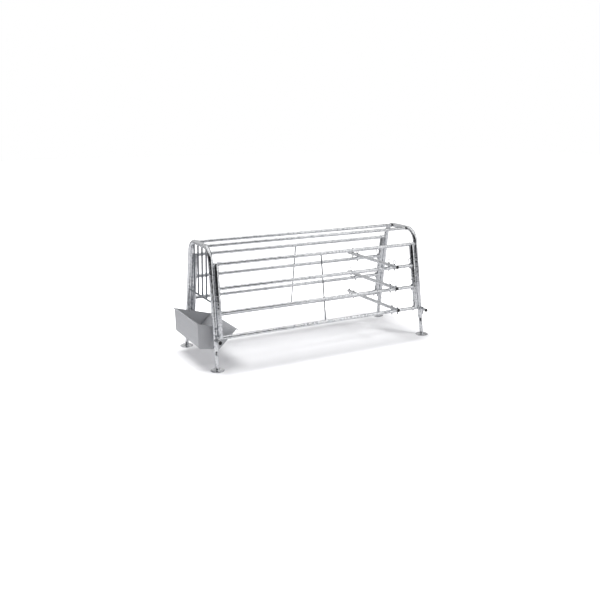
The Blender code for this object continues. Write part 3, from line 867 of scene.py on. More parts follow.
def drill_between(start: Vector, end: Vector, diameter: float) -> Object:
    """Make a round drill, which cut uses up.

    Args:
        start: The middle of one end.
        end: The middle of the other end.
        diameter: The drill's diameter.

    Returns:
        The drill.
    """
    shape = add_rod(bmesh.new(), [start, end], diameter)
    bmesh.ops.recalc_face_normals(shape, faces=shape.faces)
    return plain_object("drill", shape)


def pin_drill(middle: Vector, reach: Vector) -> Object:
    """Return a drill for a pin or bolt, as far as a reach to both sides of a point."""
    return drill_between(middle - reach, middle + reach, LINES.pin_d + LINES.pin_play)


def bore_drill(x: float, side: Side, height: float) -> Object:
    """Make a drill along a leg, which ends members in its wall, clear of the foot's tube.

    Args:
        x: Where the leg stands.
        side: The crate's side.
        height: The height of the member that is cut.

    Returns:
        The drill.
    """
    middle, reach = LINES.leg_point(x, side, height), LINES.upwards(side) * LEG_PIPE.outer_d
    diameter = LEG_PIPE.outer_d - 2 * LEG_PIPE.wall + LINES.bore_play
    return drill_between(middle - reach, middle + reach, diameter)


def cut(piece: Object, drills: Sequence[Object]) -> None:
    """Cut drills out of a piece for good, and remove them.

    Args:
        piece: The piece.
        drills: The drills.
    """
    for drill in drills:
        cutter = piece.modifiers.new(drill.name, "BOOLEAN")
        cutter.operation, cutter.solver, cutter.object = "DIFFERENCE", "MANIFOLD", drill
    bpy.context.view_layer.update()
    graph = bpy.context.evaluated_depsgraph_get()
    drilled = bpy.data.meshes.new_from_object(piece.evaluated_get(graph))
    uncut = piece.data
    piece.modifiers.clear()
    piece.data = drilled
    spent = [uncut, *(drill.data for drill in drills)]
    for drill in drills:
        bpy.data.objects.remove(drill)
    for mesh in spent:
        bpy.data.meshes.remove(mesh)


@dataclass
class Workshop:
    """Turns shapes into finished pieces, and gathers the crate's welds."""

    welds: WeldRuns = field(default_factory=WeldRuns)

    def finish(
        self,
        name: str,
        shape: BMesh,
        finish: Finish,
        replaces: Sequence[str] = (),
        drills: Sequence[Object] = (),
        body: str = "crate",
    ) -> None:
        """Make a piece from a shape, drill it, dress it and let it ride on its body.

        Args:
            name: The piece's name.
            shape: Its shape, in place, which is used up.
            finish: Its finish.
            replaces: The nodes that it stands for.
            drills: Solids that are cut out of it, in place, which are used up.
            body: The body that it rides on.
        """
        bmesh.ops.recalc_face_normals(shape, faces=shape.faces)
        piece = plain_object(name, shape)
        if drills:
            cut(piece, drills)
        piece.data.materials.clear()
        piece.data.materials.append(finish.material())
        piece.data.shade_smooth()
        piece.data.set_sharp_from_angle(angle=SHARP_ANGLE)
        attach(piece, body)
        if replaces:
            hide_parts(*replaces)
        LOG.info("%s: %d faces on %s", name, len(piece.data.polygons), body)


# Sub-assemblies


@dataclass
class TubePlug:
    """A moulded plug that closes a tube: a softly domed head on a ribbed spigot."""

    shop: Workshop
    pipe: Pipe
    thickness: float = 0.003
    spigot_length: float = 0.008
    spigot_play: float = 0.5 * MM
    spigot_chamfer: float = 1.0 * MM
    rib_height: float = 0.3 * MM
    rib_count: int = 3
    head_play: float = 0.1 * MM
    dome: float = 0.1 * MM
    dome_share: float = 0.55
    flank_share: float = 0.3
    edge_radius: float = 1.5 * MM
    edge_drop: float = 0.15 * MM
    edge_steps: int = 4
    seat_gap: float = 0.05 * MM
    steps: int = 48

    def profile(self) -> Profile:
        """Draw the plug's outline.

        Returns:
            Radius and height of each point, from the middle of the head inwards.
        """
        head_r = self.pipe.radius - self.head_play
        spigot_r = self.pipe.radius - self.pipe.wall - self.spigot_play
        edge = min(self.thickness / 2, self.edge_radius)
        fall = edge - self.edge_drop
        outline = [(0.0, self.thickness)]
        outline.append((head_r * self.dome_share, self.thickness - self.dome))
        for step in range(self.edge_steps + 1):
            angle = math.pi / 2 * step / self.edge_steps
            height = self.thickness - edge + fall * math.cos(angle)
            outline.append((head_r - edge + edge * math.sin(angle), height))
        outline += [(head_r, self.seat_gap), (spigot_r, self.seat_gap)]
        pitch = self.spigot_length / (self.rib_count + 1)
        for number in range(1, self.rib_count + 1):
            depth, flank = -pitch * number, pitch * self.flank_share
            outline.append((spigot_r, depth + flank))
            outline += [(spigot_r + self.rib_height, depth), (spigot_r, depth - flank)]
        tip = -self.spigot_length
        return outline + [(spigot_r - self.spigot_chamfer, tip), (0.0, tip)]

    def build(
        self,
        name: str,
        seat: Vector,
        outwards: Vector,
        body: str = "crate",
        replaces: Sequence[str] = (),
    ) -> None:
        """Build the plug.

        Args:
            name: The piece's name.
            seat: The middle of the tube's end.
            outwards: The direction out of the tube.
            body: The body that the plug rides on.
            replaces: The nodes that it stands for.
        """
        shape = turned(self.profile(), facing(seat, outwards), self.steps)
        self.shop.finish(name, shape, Finish.PLASTIC, replaces, body=body)


@dataclass
class Arch:
    """A bent tube arch with its stubs, their plugs and, at the rear, their pins."""

    shop: Workshop
    end: End
    bend_steps: int = 20
    stub_z: float = 0.262
    stub_reach: float = 0.108
    stub_pin_reach: float = 0.049
    stub_pin_head: Span = (0.015, 0.005)
    stub_pin_tail: float = 0.033
    spare_hole_drop: float = 0.021

    @property
    def x(self) -> float:
        """Where the arch stands."""
        return LINES.end_x(self.end)

    def axis(self) -> list[Vector]:
        """Draw the arch's axis.

        Returns:
            Its points, from the near leg's end to the far leg's end.
        """
        end_z, top_z = LINES.leg_end_z, LINES.arch_top_z
        turns = ((Side.NEAR, end_z), (Side.NEAR, top_z), (Side.FAR, top_z), (Side.FAR, end_z))
        corners = [LINES.leg_point(self.x, side, height) for side, height in turns]
        return rounded_line(corners, LINES.corner_radius, self.bend_steps)

    def stub_point(self, side: Side, reach: float) -> Vector:
        """Return a point of a stub's axis, measured outwards from the leg's axis."""
        return Vector((self.x, side.value * (LINES.leg_y(self.stub_z) + reach), self.stub_z))

    def drills(self) -> list[Object]:
        """Make drills for the lock screws, the spare holes below them and the trough's bolts.

        Returns:
            The drills. Only the front arch has the bolts.
        """
        screw_z, hole_d = LINES.lock_screw_z, LINES.pin_d + LINES.pin_play
        outwards = self.end.outwards(LEG_PIPE.outer_d)
        found = []
        for side in Side:
            for height in (screw_z, screw_z - self.spare_hole_drop):
                start = LINES.leg_point(self.x, side, height)
                found.append(drill_between(start, start + outwards, hole_d))
        if self.end is End.FRONT:
            for side in Side:
                for height in LINES.trough_bolt_heights:
                    middle = LINES.leg_point(self.x, side, height)
                    found.append(pin_drill(middle, ACROSS * LEG_PIPE.outer_d))
        return found

    def build(self) -> None:
        """Build the arch, its stubs, plugs and pins."""
        node = f"{self.end.label}_arch"
        arch = tube(self.axis(), LEG_PIPE)
        self.shop.finish(f"{node}_tube", arch, Finish.ZINC, [node], self.drills())
        for side in Side:
            self.build_stub(side)

    def build_stub(self, side: Side) -> None:
        """Build a stub with its plug, and its pin on the rear arch.

        Args:
            side: The crate's side.
        """
        label = f"{self.end.label}_{side.label}"
        plug = TubePlug(self.shop, RAIL_PIPE)
        start = self.stub_point(side, LEG_PIPE.radius - LEG_PIPE.wall)
        end = self.stub_point(side, self.stub_reach - plug.thickness)
        drills = [bore_drill(self.x, side, self.stub_z)]
        if self.end is End.REAR:
            middle = self.stub_point(side, self.stub_pin_reach)
            drills.append(pin_drill(middle, UP * RAIL_PIPE.outer_d))
            self.build_stub_pin(side, middle)
        stub = tube([start, end], RAIL_PIPE)
        self.shop.finish(f"stub_{label}", stub, Finish.ZINC, (), drills)
        branch = Bar(self.stub_point(side, 0.0), side.outwards(), RAIL_PIPE.radius)
        self.shop.welds.round_joint(branch, LINES.standing(self.x, side, LEG_PIPE))
        plug.build(f"stub_plug_{label}", end, side.outwards())

    def build_stub_pin(self, side: Side, middle: Vector) -> None:
        """Build the plain headed pin in a rear stub.

        Args:
            side: The crate's side.
            middle: Where the pin crosses the stub's axis.
        """
        play, crown, brow, taper, point = 0.2 * MM, 1.2 * MM, 1.6 * MM, 2.0 * MM, 1.5 * MM
        head_r, shank = self.stub_pin_head[0] / 2, LINES.pin_d / 2
        seat = RAIL_PIPE.radius + play
        top = seat + self.stub_pin_head[1]
        tip = -RAIL_PIPE.radius - self.stub_pin_tail
        profile = [
            (0.0, top - play),
            (head_r - crown, top - play),
            (head_r, top - brow),
            (head_r, seat),
            (shank, seat),
            (shank, tip + taper),
            (shank - point, tip),
            (0.0, tip),
        ]
        shape = turned(profile, Matrix.Translation(middle))
        self.shop.finish(f"stub_pin_{side.label}", shape, Finish.PLATED)


@dataclass
class Foot:
    """A round floor plate on a tube that slides in the leg, with the screw that locks it."""

    shop: Workshop
    end: End
    side: Side
    tube_foot_z: float = 0.0036
    tube_top_z: float = 0.230
    plate_d: float = 0.122
    plate_thickness: float = 0.006
    plate_edge: float = 1.2 * MM
    # Points of that edge, as shares of it inwards from the rim and down from the top.
    edge_points: tuple[Span, ...] = ((1.0, 0.0), (0.3, 0.3), (0.0, 1.0))
    under_edge: float = 0.6 * MM
    plate_steps: int = 72
    hole_d: float = 0.013
    hole_offset: float = 0.041
    screw_head: Span = (0.017, 0.007)
    screw_gap: float = 0.3 * MM

    @property
    def label(self) -> str:
        """The foot's name in node names."""
        return f"{self.end.label}_{self.side.label}"

    def axis_point(self, height: float) -> Vector:
        """Return a point of the foot's axis."""
        return LINES.leg_point(LINES.end_x(self.end), self.side, height)

    def build(self) -> None:
        """Build the plate, the tube, the weld between them and the lock screw."""
        self.build_plate()
        body = f"foot_{self.label}"
        ends = [self.axis_point(height) for height in (self.tube_foot_z, self.tube_top_z)]
        shape = tube(ends, RAIL_PIPE)
        self.shop.finish(f"foot_tube_{self.label}", shape, Finish.ZINC, body=body)
        run = WeldRuns()
        run.round_joint(Bar(self.axis_point(self.plate_thickness), UP, RAIL_PIPE.radius), None)
        self.shop.finish(f"foot_weld_{self.label}", run.shape, Finish.ZINC, body=body)
        self.build_screw()

    def build_plate(self) -> None:
        """Build the floor plate with its bolt hole."""
        body, top = f"foot_{self.label}", self.plate_thickness
        base, radius, edge = self.axis_point(0.0), self.plate_d / 2, self.plate_edge
        profile = [
            (0.0, top),
            *((radius - edge * inwards, top - edge * down) for inwards, down in self.edge_points),
            (radius, self.under_edge),
            (radius - self.under_edge, 0.0),
            (0.0, 0.0),
        ]
        shape = turned(profile, Matrix.Translation(base), self.plate_steps)
        hole, depth = base + self.side.outwards(self.hole_offset), UP * (top * 2)
        drills = [drill_between(hole - depth, hole + depth, self.hole_d)]
        name = f"floor_plate_{self.label}"
        self.shop.finish(name, shape, Finish.ZINC, [body], drills, body)

    def build_screw(self) -> None:
        """Build the hexagon screw that presses on the foot's tube."""
        outwards, middle = self.end.outwards(), self.axis_point(LINES.lock_screw_z)
        seat = middle + outwards * (LEG_PIPE.radius + self.screw_gap)
        tip = middle + outwards * (RAIL_PIPE.radius + self.screw_gap)
        shape = add_rod(bmesh.new(), [tip, seat + outwards * MM], LINES.pin_d)
        add_hexagon(shape, *self.screw_head, facing(seat, outwards))
        node = f"lock_screw_{self.label}"
        self.shop.finish(f"{node}_hexagon", shape, Finish.PLATED, [node])


@dataclass
class SidePanel:
    """One side of the crate: four rails, two posts and a tie rod."""

    shop: Workshop
    side: Side
    tie_rod_d: float = 0.011
    tie_bead_r: float = 2.0 * MM

    def build(self) -> None:
        """Build the rails, posts and tie rod with their welds."""
        for rail in Rail:
            self.build_rail(rail)
        for end in End:
            self.build_post(end)
        self.build_tie_rod()

    def carrier(self, rail: Rail, end: End) -> Bar:
        """Find what carries an end of a rail.

        Args:
            rail: The rail.
            end: Which end of it.

        Returns:
            The leg or the post.
        """
        if rail.meets_legs:
            return LINES.standing(LINES.end_x(end), self.side, LEG_PIPE)
        return LINES.standing(LINES.post_x(end), self.side, POST_PIPE)

    def build_rail(self, rail: Rail) -> None:
        """Build a rail, drilled for its pins and clear of the legs' bores, and weld its ends.

        Args:
            rail: Which rail.
        """
        height, radius = LINES.rail_z(rail), RAIL_PIPE.radius
        line, drills = [], []
        for end in End:
            carrier = self.carrier(rail, end)
            inside = math.sqrt(carrier.radius ** 2 - radius ** 2) - LINES.weld_overlap
            x = carrier.point.x
            line.append(LINES.leg_point(x - end.value * inside, self.side, height))
            branch = Bar(LINES.leg_point(x, self.side, height), end.outwards(-1.0), radius)
            self.shop.welds.round_joint(branch, carrier)
        shape = tube(line, RAIL_PIPE)
        if rail.carries_bar:
            for kind in ("lock_pin", "rail_pin"):
                x = middle_of(f"{kind}_{rail.label}_{self.side.label}").x
                middle = LINES.leg_point(x, self.side, height)
                drills.append(pin_drill(middle, UP * RAIL_PIPE.outer_d))
        if rail.meets_legs:
            drills += [bore_drill(LINES.end_x(end), self.side, height) for end in End]
        node = f"rail_{rail.label}_{self.side.label}"
        self.shop.finish(f"{node}_tube", shape, Finish.ZINC, [node], drills)

    def build_post(self, end: End) -> None:
        """Build a post between the bottom and the top rail.

        Args:
            end: Which end of the panel.
        """
        x, rails = LINES.post_x(end), (Rail.BOTTOM, Rail.TOP)
        seats = [LINES.leg_point(x, self.side, LINES.rail_z(rail)) for rail in rails]
        node = f"post_{end.label}_{self.side.label}"
        self.shop.finish(f"{node}_tube", tube(seats, POST_PIPE), Finish.ZINC, [node])
        post = LINES.standing(x, self.side, POST_PIPE)
        for seat in seats:
            for facing_end in End:
                branch = Bar(seat, facing_end.outwards(), RAIL_PIPE.radius)
                self.shop.welds.round_joint(branch, post)

    def build_tie_rod(self) -> None:
        """Build the thin rod that ties the rails together, and weld it to each of them."""
        node = f"tie_rod_{self.side.label}"
        x, inset = middle_of(node).x, RAIL_PIPE.radius - RAIL_PIPE.wall / 2
        low, high = LINES.rail_z(Rail.BOTTOM) + inset, LINES.rail_z(Rail.TOP) - inset
        ends = [LINES.leg_point(x, self.side, height) for height in (low, high)]
        shape = add_rod(bmesh.new(), ends, self.tie_rod_d)
        self.shop.finish(f"{node}_bar", shape, Finish.ROD_ZINC, [node])
        up = LINES.upwards(self.side)
        for rail in Rail:
            seat = LINES.leg_point(x, self.side, LINES.rail_z(rail))
            for heading in {Rail.BOTTOM: (1,), Rail.TOP: (-1,)}.get(rail, (1, -1)):
                branch = Bar(seat, up * heading, self.tie_rod_d / 2)
                self.shop.welds.round_joint(branch, LINES.rail(self.side, rail), self.tie_bead_r)


@dataclass
class TopTube:
    """A tube that joins the arches along the top, with a moulded cap at its rear end."""

    shop: Workshop
    side: Side
    cap_length: float = 0.016

    def build(self) -> None:
        """Build the tube and its cap."""
        node = f"top_tube_{self.side.label}"
        y, radius = middle_of(node).y, TOP_PIPE.radius
        front_x, top_z = LINES.end_x(End.FRONT), LINES.arch_top_z
        arch = Bar(Vector((front_x, 0.0, top_z)), ACROSS, LEG_PIPE.radius)
        start = front_x + math.sqrt(arch.radius ** 2 - radius ** 2) - LINES.weld_overlap
        cap_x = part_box(node)[1].x - self.cap_length
        line = [Vector((x, y, top_z)) for x in (start, cap_x)]
        self.shop.finish(f"{node}_pipe", tube(line, TOP_PIPE), Finish.ZINC, [node])
        self.shop.welds.round_joint(Bar(Vector((front_x, y, top_z)), ALONG, radius), arch)
        cap = TubePlug(self.shop, TOP_PIPE, self.cap_length)
        cap.build(f"top_cap_{self.side.label}", line[1], ALONG)


@dataclass
class HeadGrille:
    """The grille in the front arch: a cross rod with upright rods up to the arch."""

    shop: Workshop
    rod_d: float = 0.015
    rod_pitch: float = 0.099
    rod_count: int = 4
    cross_rod_d: float = 0.016
    cross_rod_z: float = 0.572
    bead_radii: Triple = (2.2 * MM, 1.8 * MM, 2.0 * MM)

    def arch_axis_z(self, y: float) -> float:
        """Find the height of the arch's axis.

        Args:
            y: The distance from the crate's middle.

        Returns:
            The height above that place.
        """
        bend = LINES.corner_radius
        half_turn = (math.pi / 2 - math.atan(LINES.leg_lean)) / 2
        flat = LINES.leg_y(LINES.arch_top_z) - bend * math.tan(half_turn)
        into_bend = max(0.0, abs(y) - flat)
        return LINES.arch_top_z - bend + math.sqrt(bend ** 2 - into_bend ** 2)

    def build(self) -> None:
        """Build the rods and their welds."""
        x, weld = LINES.end_x(End.FRONT), self.shop.welds.round_joint
        leg_bead, foot_bead, head_bead = self.bead_radii
        inside = LEG_PIPE.radius - LEG_PIPE.wall / 2
        cross = []
        for side in Side:
            seat, inwards = LINES.leg_point(x, side, self.cross_rod_z), side.outwards(-1.0)
            cross.append(seat + inwards * inside)
            branch = Bar(seat, inwards, self.cross_rod_d / 2)
            weld(branch, LINES.standing(x, side, LEG_PIPE), leg_bead)
        shape = add_rod(bmesh.new(), cross, self.cross_rod_d)
        cross_bar = Bar(Vector((x, 0.0, self.cross_rod_z)), ACROSS, self.cross_rod_d / 2)
        for number in range(self.rod_count):
            y = (number - (self.rod_count - 1) / 2) * self.rod_pitch
            foot = Vector((x, y, self.cross_rod_z))
            head = Vector((x, y, self.arch_axis_z(y)))
            add_rod(shape, [foot, head - UP * inside], self.rod_d)
            weld(Bar(foot, UP, self.rod_d / 2), cross_bar, foot_bead)
            arch = Bar(head, ACROSS, LEG_PIPE.radius)
            weld(Bar(head, Vector((0.0, 0.0, -1.0)), self.rod_d / 2), arch, head_bead)
        self.shop.finish("head_grille_rods", shape, Finish.ROD_ZINC, ["head_grille"])


@dataclass
class Trough:
    """The feeding trough: one folded sheet, two flanged end plates, bosses and bolts."""

    shop: Workshop
    sheet: float = 0.002
    front_reach: float = 0.154
    front_top_z: float = 0.412
    front_bottom: Span = (-0.133, 0.190)
    rear_bottom: Span = (0.052, 0.158)
    rear_reach: float = 0.230
    rear_top_z: float = 0.316
    bend_radius: float = 0.014
    rim_width: float = 0.012
    rim_drop: float = 0.012
    rim_radius: float = 0.004
    plate_edge: float = 0.35 * MM
    flange_width: float = 0.017
    flange_from_rim: float = 0.016
    flange_depth: float = 0.003
    leg_clearance: float = 0.002
    end_inset: float = 0.0005
    boss_d: float = 0.020
    boss_sides: int = 32
    dome_steps: int = 8
    bolt_head: Span = (0.022, 0.007)
    bolt_gap: float = 0.3 * MM
    washer: Span = (0.024, 0.0012)
    washer_rim_share: float = 0.9
    fold_steps: int = 8

    @property
    def half_width(self) -> float:
        """Half the trough's width, which fits between the legs at the front rim."""
        return LINES.leg_y(self.front_top_z) - LINES.across_leg - self.leg_clearance

    def corners(self) -> dict[str, Vector]:
        """Lay out the corners of the sheet's middle line.

        Returns:
            Each corner by its name, from the front rim to the rear rim.
        """
        x, half = LINES.end_x(End.FRONT), self.sheet / 2
        front_x, front_z = x - self.front_reach + half, self.front_top_z - half
        rear_x, rear_z = x + self.rear_reach - half, self.rear_top_z - half
        flat = {
            "front_lip": (front_x, front_z - self.rim_drop),
            "front_rim": (front_x, front_z),
            "front_top": (front_x + self.rim_width, front_z),
            "front_bottom": (x + self.front_bottom[0], self.front_bottom[1]),
            "rear_bottom": (x + self.rear_bottom[0], self.rear_bottom[1]),
            "rear_top": (rear_x - self.rim_width, rear_z),
            "rear_rim": (rear_x, rear_z),
            "rear_lip": (rear_x, rear_z - self.rim_drop),
        }
        return {name: Vector((along, 0.0, height)) for name, (along, height) in flat.items()}

    def sheet_line(self) -> list[Vector]:
        """Draw the sheet's middle line with rounded folds.

        Returns:
            Its points, from the front rim to the rear rim.
        """
        corner = self.corners()
        front_half = corner["front_top"].lerp(corner["front_bottom"], 0.5)
        rear_half = corner["rear_bottom"].lerp(corner["rear_top"], 0.5)
        front = [corner["front_lip"], corner["front_rim"], corner["front_top"], front_half]
        belly = [front_half, corner["front_bottom"], corner["rear_bottom"], rear_half]
        rear = [rear_half, corner["rear_top"], corner["rear_rim"], corner["rear_lip"]]
        line = rounded_line(front, self.rim_radius, self.fold_steps)[:-1]
        line += rounded_line(belly, self.bend_radius, self.fold_steps)[1:-1]
        return line + rounded_line(rear, self.rim_radius, self.fold_steps)[1:]

    def plate_line(self) -> list[Vector]:
        """Draw the outline of an end plate along the sheet's middle line.

        Returns:
            Its points, from the front rim to the rear rim.
        """
        corner = self.corners()
        down_front = (corner["front_bottom"] - corner["front_top"]).normalized()
        down_rear = (corner["rear_bottom"] - corner["rear_top"]).normalized()
        ends = [
            corner["front_top"] + down_front * self.rim_radius,
            corner["front_bottom"],
            corner["rear_bottom"],
            corner["rear_top"] + down_rear * self.rim_radius,
        ]
        return rounded_line(ends, self.bend_radius, self.fold_steps)

    def build(self) -> None:
        """Build the sheet, the end plates, the bosses and the bolts."""
        shape = bmesh.new()
        self.add_sheet(shape)
        for side in Side:
            self.add_end(shape, side)
        self.shop.finish("trough_sheetwork", shape, Finish.SHEET, ["trough"])
        for side in Side:
            for level, height in zip(("upper", "lower"), LINES.trough_bolt_heights):
                self.build_bolt(side, level, height)

    def add_sheet(self, shape: BMesh) -> None:
        """Add the folded sheet.

        Args:
            shape: The trough's shape.
        """
        line, near = self.sheet_line(), -self.half_width
        points = [shape.verts.new((point.x, near, point.z)) for point in line]
        edges = [shape.edges.new(pair) for pair in zip(points, points[1:])]
        grown = bmesh.ops.extrude_edge_only(shape, edges=edges)["geom"]
        bmesh.ops.translate(shape, verts=fresh_verts(grown), vec=ACROSS * (2 * self.half_width))
        faces = list(shape.faces)
        bmesh.ops.recalc_face_normals(shape, faces=faces)
        bmesh.ops.solidify(shape, geom=faces, thickness=self.sheet / 2)
        bmesh.ops.recalc_face_normals(shape, faces=list(shape.faces))

    def add_end(self, shape: BMesh, side: Side) -> None:
        """Add an end plate with its flange and its bosses.

        Args:
            shape: The trough's shape.
            side: The crate's side.
        """
        outer = side.value * (self.half_width - self.end_inset)
        self.add_slab(shape, self.plate_line(), outer, outer - side.value * self.sheet)
        corner = self.corners()
        down = (corner["front_bottom"] - corner["front_top"]).normalized()
        high = corner["front_top"] + down * self.flange_from_rim
        low = corner["front_bottom"] - down * self.bend_radius
        skin = Vector((down.z, 0.0, -down.x)) * self.flange_depth
        strip = [high, high + skin, low + skin, low]
        self.add_slab(shape, strip, outer, outer - side.value * self.flange_width)
        x = LINES.end_x(End.FRONT)
        for height in LINES.trough_bolt_heights:
            leg_inside = side.value * (LINES.leg_y(height) - LINES.across_leg)
            ends = [Vector((x, outer, height)), Vector((x, leg_inside, height))]
            add_rod(shape, ends, self.boss_d, self.boss_sides)

    def add_slab(
        self, shape: BMesh, outline: Sequence[Vector], y_from: float, y_to: float
    ) -> None:
        """Add a flat plate between two distances across the crate.

        Args:
            shape: The mesh that gets the plate.
            outline: The plate's outline in the XZ plane.
            y_from: Where one face lies.
            y_to: Where the other face lies.
        """
        corners = [shape.verts.new((point.x, y_from, point.z)) for point in outline]
        face = shape.faces.new(corners)
        moved = fresh_verts(bmesh.ops.extrude_face_region(shape, geom=[face])["geom"])
        bmesh.ops.translate(shape, verts=moved, vec=(0.0, y_to - y_from, 0.0))
        verts = (*corners, *moved)
        skin = {face for vert in verts for face in vert.link_faces}
        bmesh.ops.recalc_face_normals(shape, faces=list(skin))
        around = {edge for vert in verts for edge in vert.link_edges}
        depths = {edge: abs(edge.verts[0].co.y - edge.verts[1].co.y) for edge in around}
        rims = [edge for edge, depth in depths.items() if depth < FLAT_REACH]
        soften(shape, rims, self.plate_edge)

    def build_bolt(self, side: Side, level: str, height: float) -> None:
        """Build a domed bolt with its washer.

        Args:
            side: The crate's side.
            level: The bolt's name on its leg.
            height: The bolt's height.
        """
        head_r, head_height = self.bolt_head[0] / 2, self.bolt_head[1]
        washer_r, washer_height = self.washer[0] / 2, self.washer[1]
        shank, leg = LINES.pin_d / 2, LINES.leg_y(height) + LINES.across_leg
        seat = leg + head_r * LINES.leg_lean + self.bolt_gap
        tip = self.half_width - self.end_inset - self.sheet
        rise = head_height - washer_height
        outline = [(0.0, seat + head_height)]
        for step in range(1, self.dome_steps + 1):
            angle = math.pi / 2 * step / self.dome_steps
            dome_z = seat + washer_height + rise * math.cos(angle)
            outline.append((head_r * math.sin(angle), dome_z))
        washer_rim = seat + washer_height * self.washer_rim_share
        outline += [(washer_r, washer_rim), (washer_r, seat)]
        outline += [(shank, seat), (shank, tip), (0.0, tip)]
        turn = Matrix.Rotation(-side.value * math.pi / 2, 4, "X")
        place = Matrix.Translation((LINES.end_x(End.FRONT), 0.0, height)) @ turn
        node = f"trough_bolt_{level}_{side.label}"
        self.shop.finish(f"{node}_dome", turned(outline, place), Finish.PLATED, [node])


class PinFamily(Labelled):
    """The ring pins: the ring's outer diameter and its turn from facing along the crate."""

    LOCK = (0.035, math.radians(90))
    BAR = (0.042, 0.0)
    RAIL = (0.058, 0.0)


@dataclass
class RingPin:
    """A turned pin with a shoulder, and a wire ring welded on its head to pull it by."""

    shop: Workshop
    family: PinFamily
    place_name: str
    tip_length: float = 0.005
    shoulder_d: float = 0.015
    shoulder_height: float = 0.004
    shoulder_edge: float = 0.8 * MM
    shoulder_foot: float = 0.4 * MM
    wire_d: float = 0.005
    # Points of the head and of the tip. The first number is a share of the shank's radius, the
    # second one of the wire's diameter above the shoulder, or of the tip's length above its end.
    head_points: tuple[Span, ...] = ((0.0, 0.45), (0.8, 0.4), (1.15, 0.1))
    tip_points: tuple[Span, ...] = ((1.0, 1.0), (0.9, 0.55), (0.5, 0.0), (0.0, 0.0))
    steps: int = 32

    def build(self) -> None:
        """Build the pin where its node stands."""
        node = f"{self.family.label}_pin_{self.place_name}"
        ring_d, turn = self.family.value
        low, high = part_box(node)
        middle = middle_of(node)
        seat = high.z - ring_d - self.shoulder_height
        top = seat + self.shoulder_height
        shank, shoulder = LINES.pin_d / 2, self.shoulder_d / 2
        profile = [
            *((shank * out, top + self.wire_d * up) for out, up in self.head_points),
            (shoulder - self.shoulder_edge, top),
            (shoulder, top - self.shoulder_edge),
            (shoulder, seat + self.shoulder_foot),
            (shoulder - self.shoulder_foot, seat),
            (shank, seat),
            *((shank * out, low.z + self.tip_length * up) for out, up in self.tip_points),
        ]
        shape = turned(profile, Matrix.Translation((middle.x, middle.y, 0.0)), self.steps)
        ring_place = Matrix.Translation((middle.x, middle.y, top + ring_d / 2))
        stand = Matrix.Rotation(turn, 4, "Z") @ Matrix.Rotation(math.pi / 2, 4, "Y")
        add_ring(shape, ring_d, self.wire_d, ring_place @ stand)
        self.shop.finish(f"{node}_turned", shape, Finish.HANDLED, [node], body=node)


@dataclass
class RetainingBar:
    """A bar across the rails behind the sow, with its plugs and its pins."""

    shop: Workshop
    rail: Rail
    plug_gap: float = 0.3 * MM

    def build(self) -> None:
        """Build the bar, its plugs and the pins that stand in it."""
        name = self.rail.label
        node = f"retaining_bar_{name}"
        low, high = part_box(node)
        middle = middle_of(node)
        pipe = Pipe(high.z - low.z, RAIL_PIPE.wall)
        ends = [Vector((middle.x, y, middle.z)) for y in (low.y, high.y)]
        drills = []
        for side in Side:
            for family in (PinFamily.LOCK, PinFamily.BAR):
                spot = middle_of(f"{family.label}_pin_{name}_{side.label}")
                spot.z = middle.z
                drills.append(pin_drill(spot, UP * pipe.outer_d))
        bar = tube(ends, pipe)
        self.shop.finish(f"{node}_tube", bar, Finish.ZINC, [node], drills, node)
        for side, end in zip(Side, ends):
            plug_node = f"bar_plug_{name}_{side.label}"
            seat = end + side.outwards() * self.plug_gap
            plug = TubePlug(self.shop, pipe)
            plug.build(f"{plug_node}_moulded", seat, side.outwards(), node, [plug_node])
            for family in PinFamily:
                RingPin(self.shop, family, f"{name}_{side.label}").build()


# The studio


@dataclass(frozen=True)
class RoomWall:
    """A lit wall or ceiling that the metal mirrors.

    It fades in as the cosine between a reflection and the wall's direction passes the fade.
    """

    direction: Triple
    fade: Span
    level: float


@dataclass(frozen=True)
class Softbox:
    """A square lamp with a soft front, which lights the crate but isn't mirrored in it."""

    name: str
    spot: Triple
    size: float
    power: float

    def build(self, target: Vector) -> None:
        """Hang the lamp.

        Args:
            target: What it points at.
        """
        lamp = bpy.data.lights.new(self.name, "AREA")
        lamp.shape = "RECTANGLE"
        lamp.size = lamp.size_y = self.size
        lamp.energy = self.power
        item = bpy.data.objects.new(self.name, lamp)
        item.location = self.spot
        item.rotation_euler = (target - Vector(self.spot)).to_track_quat("-Z", "Y").to_euler()
        item.visible_glossy = False
        bpy.context.scene.collection.objects.link(item)


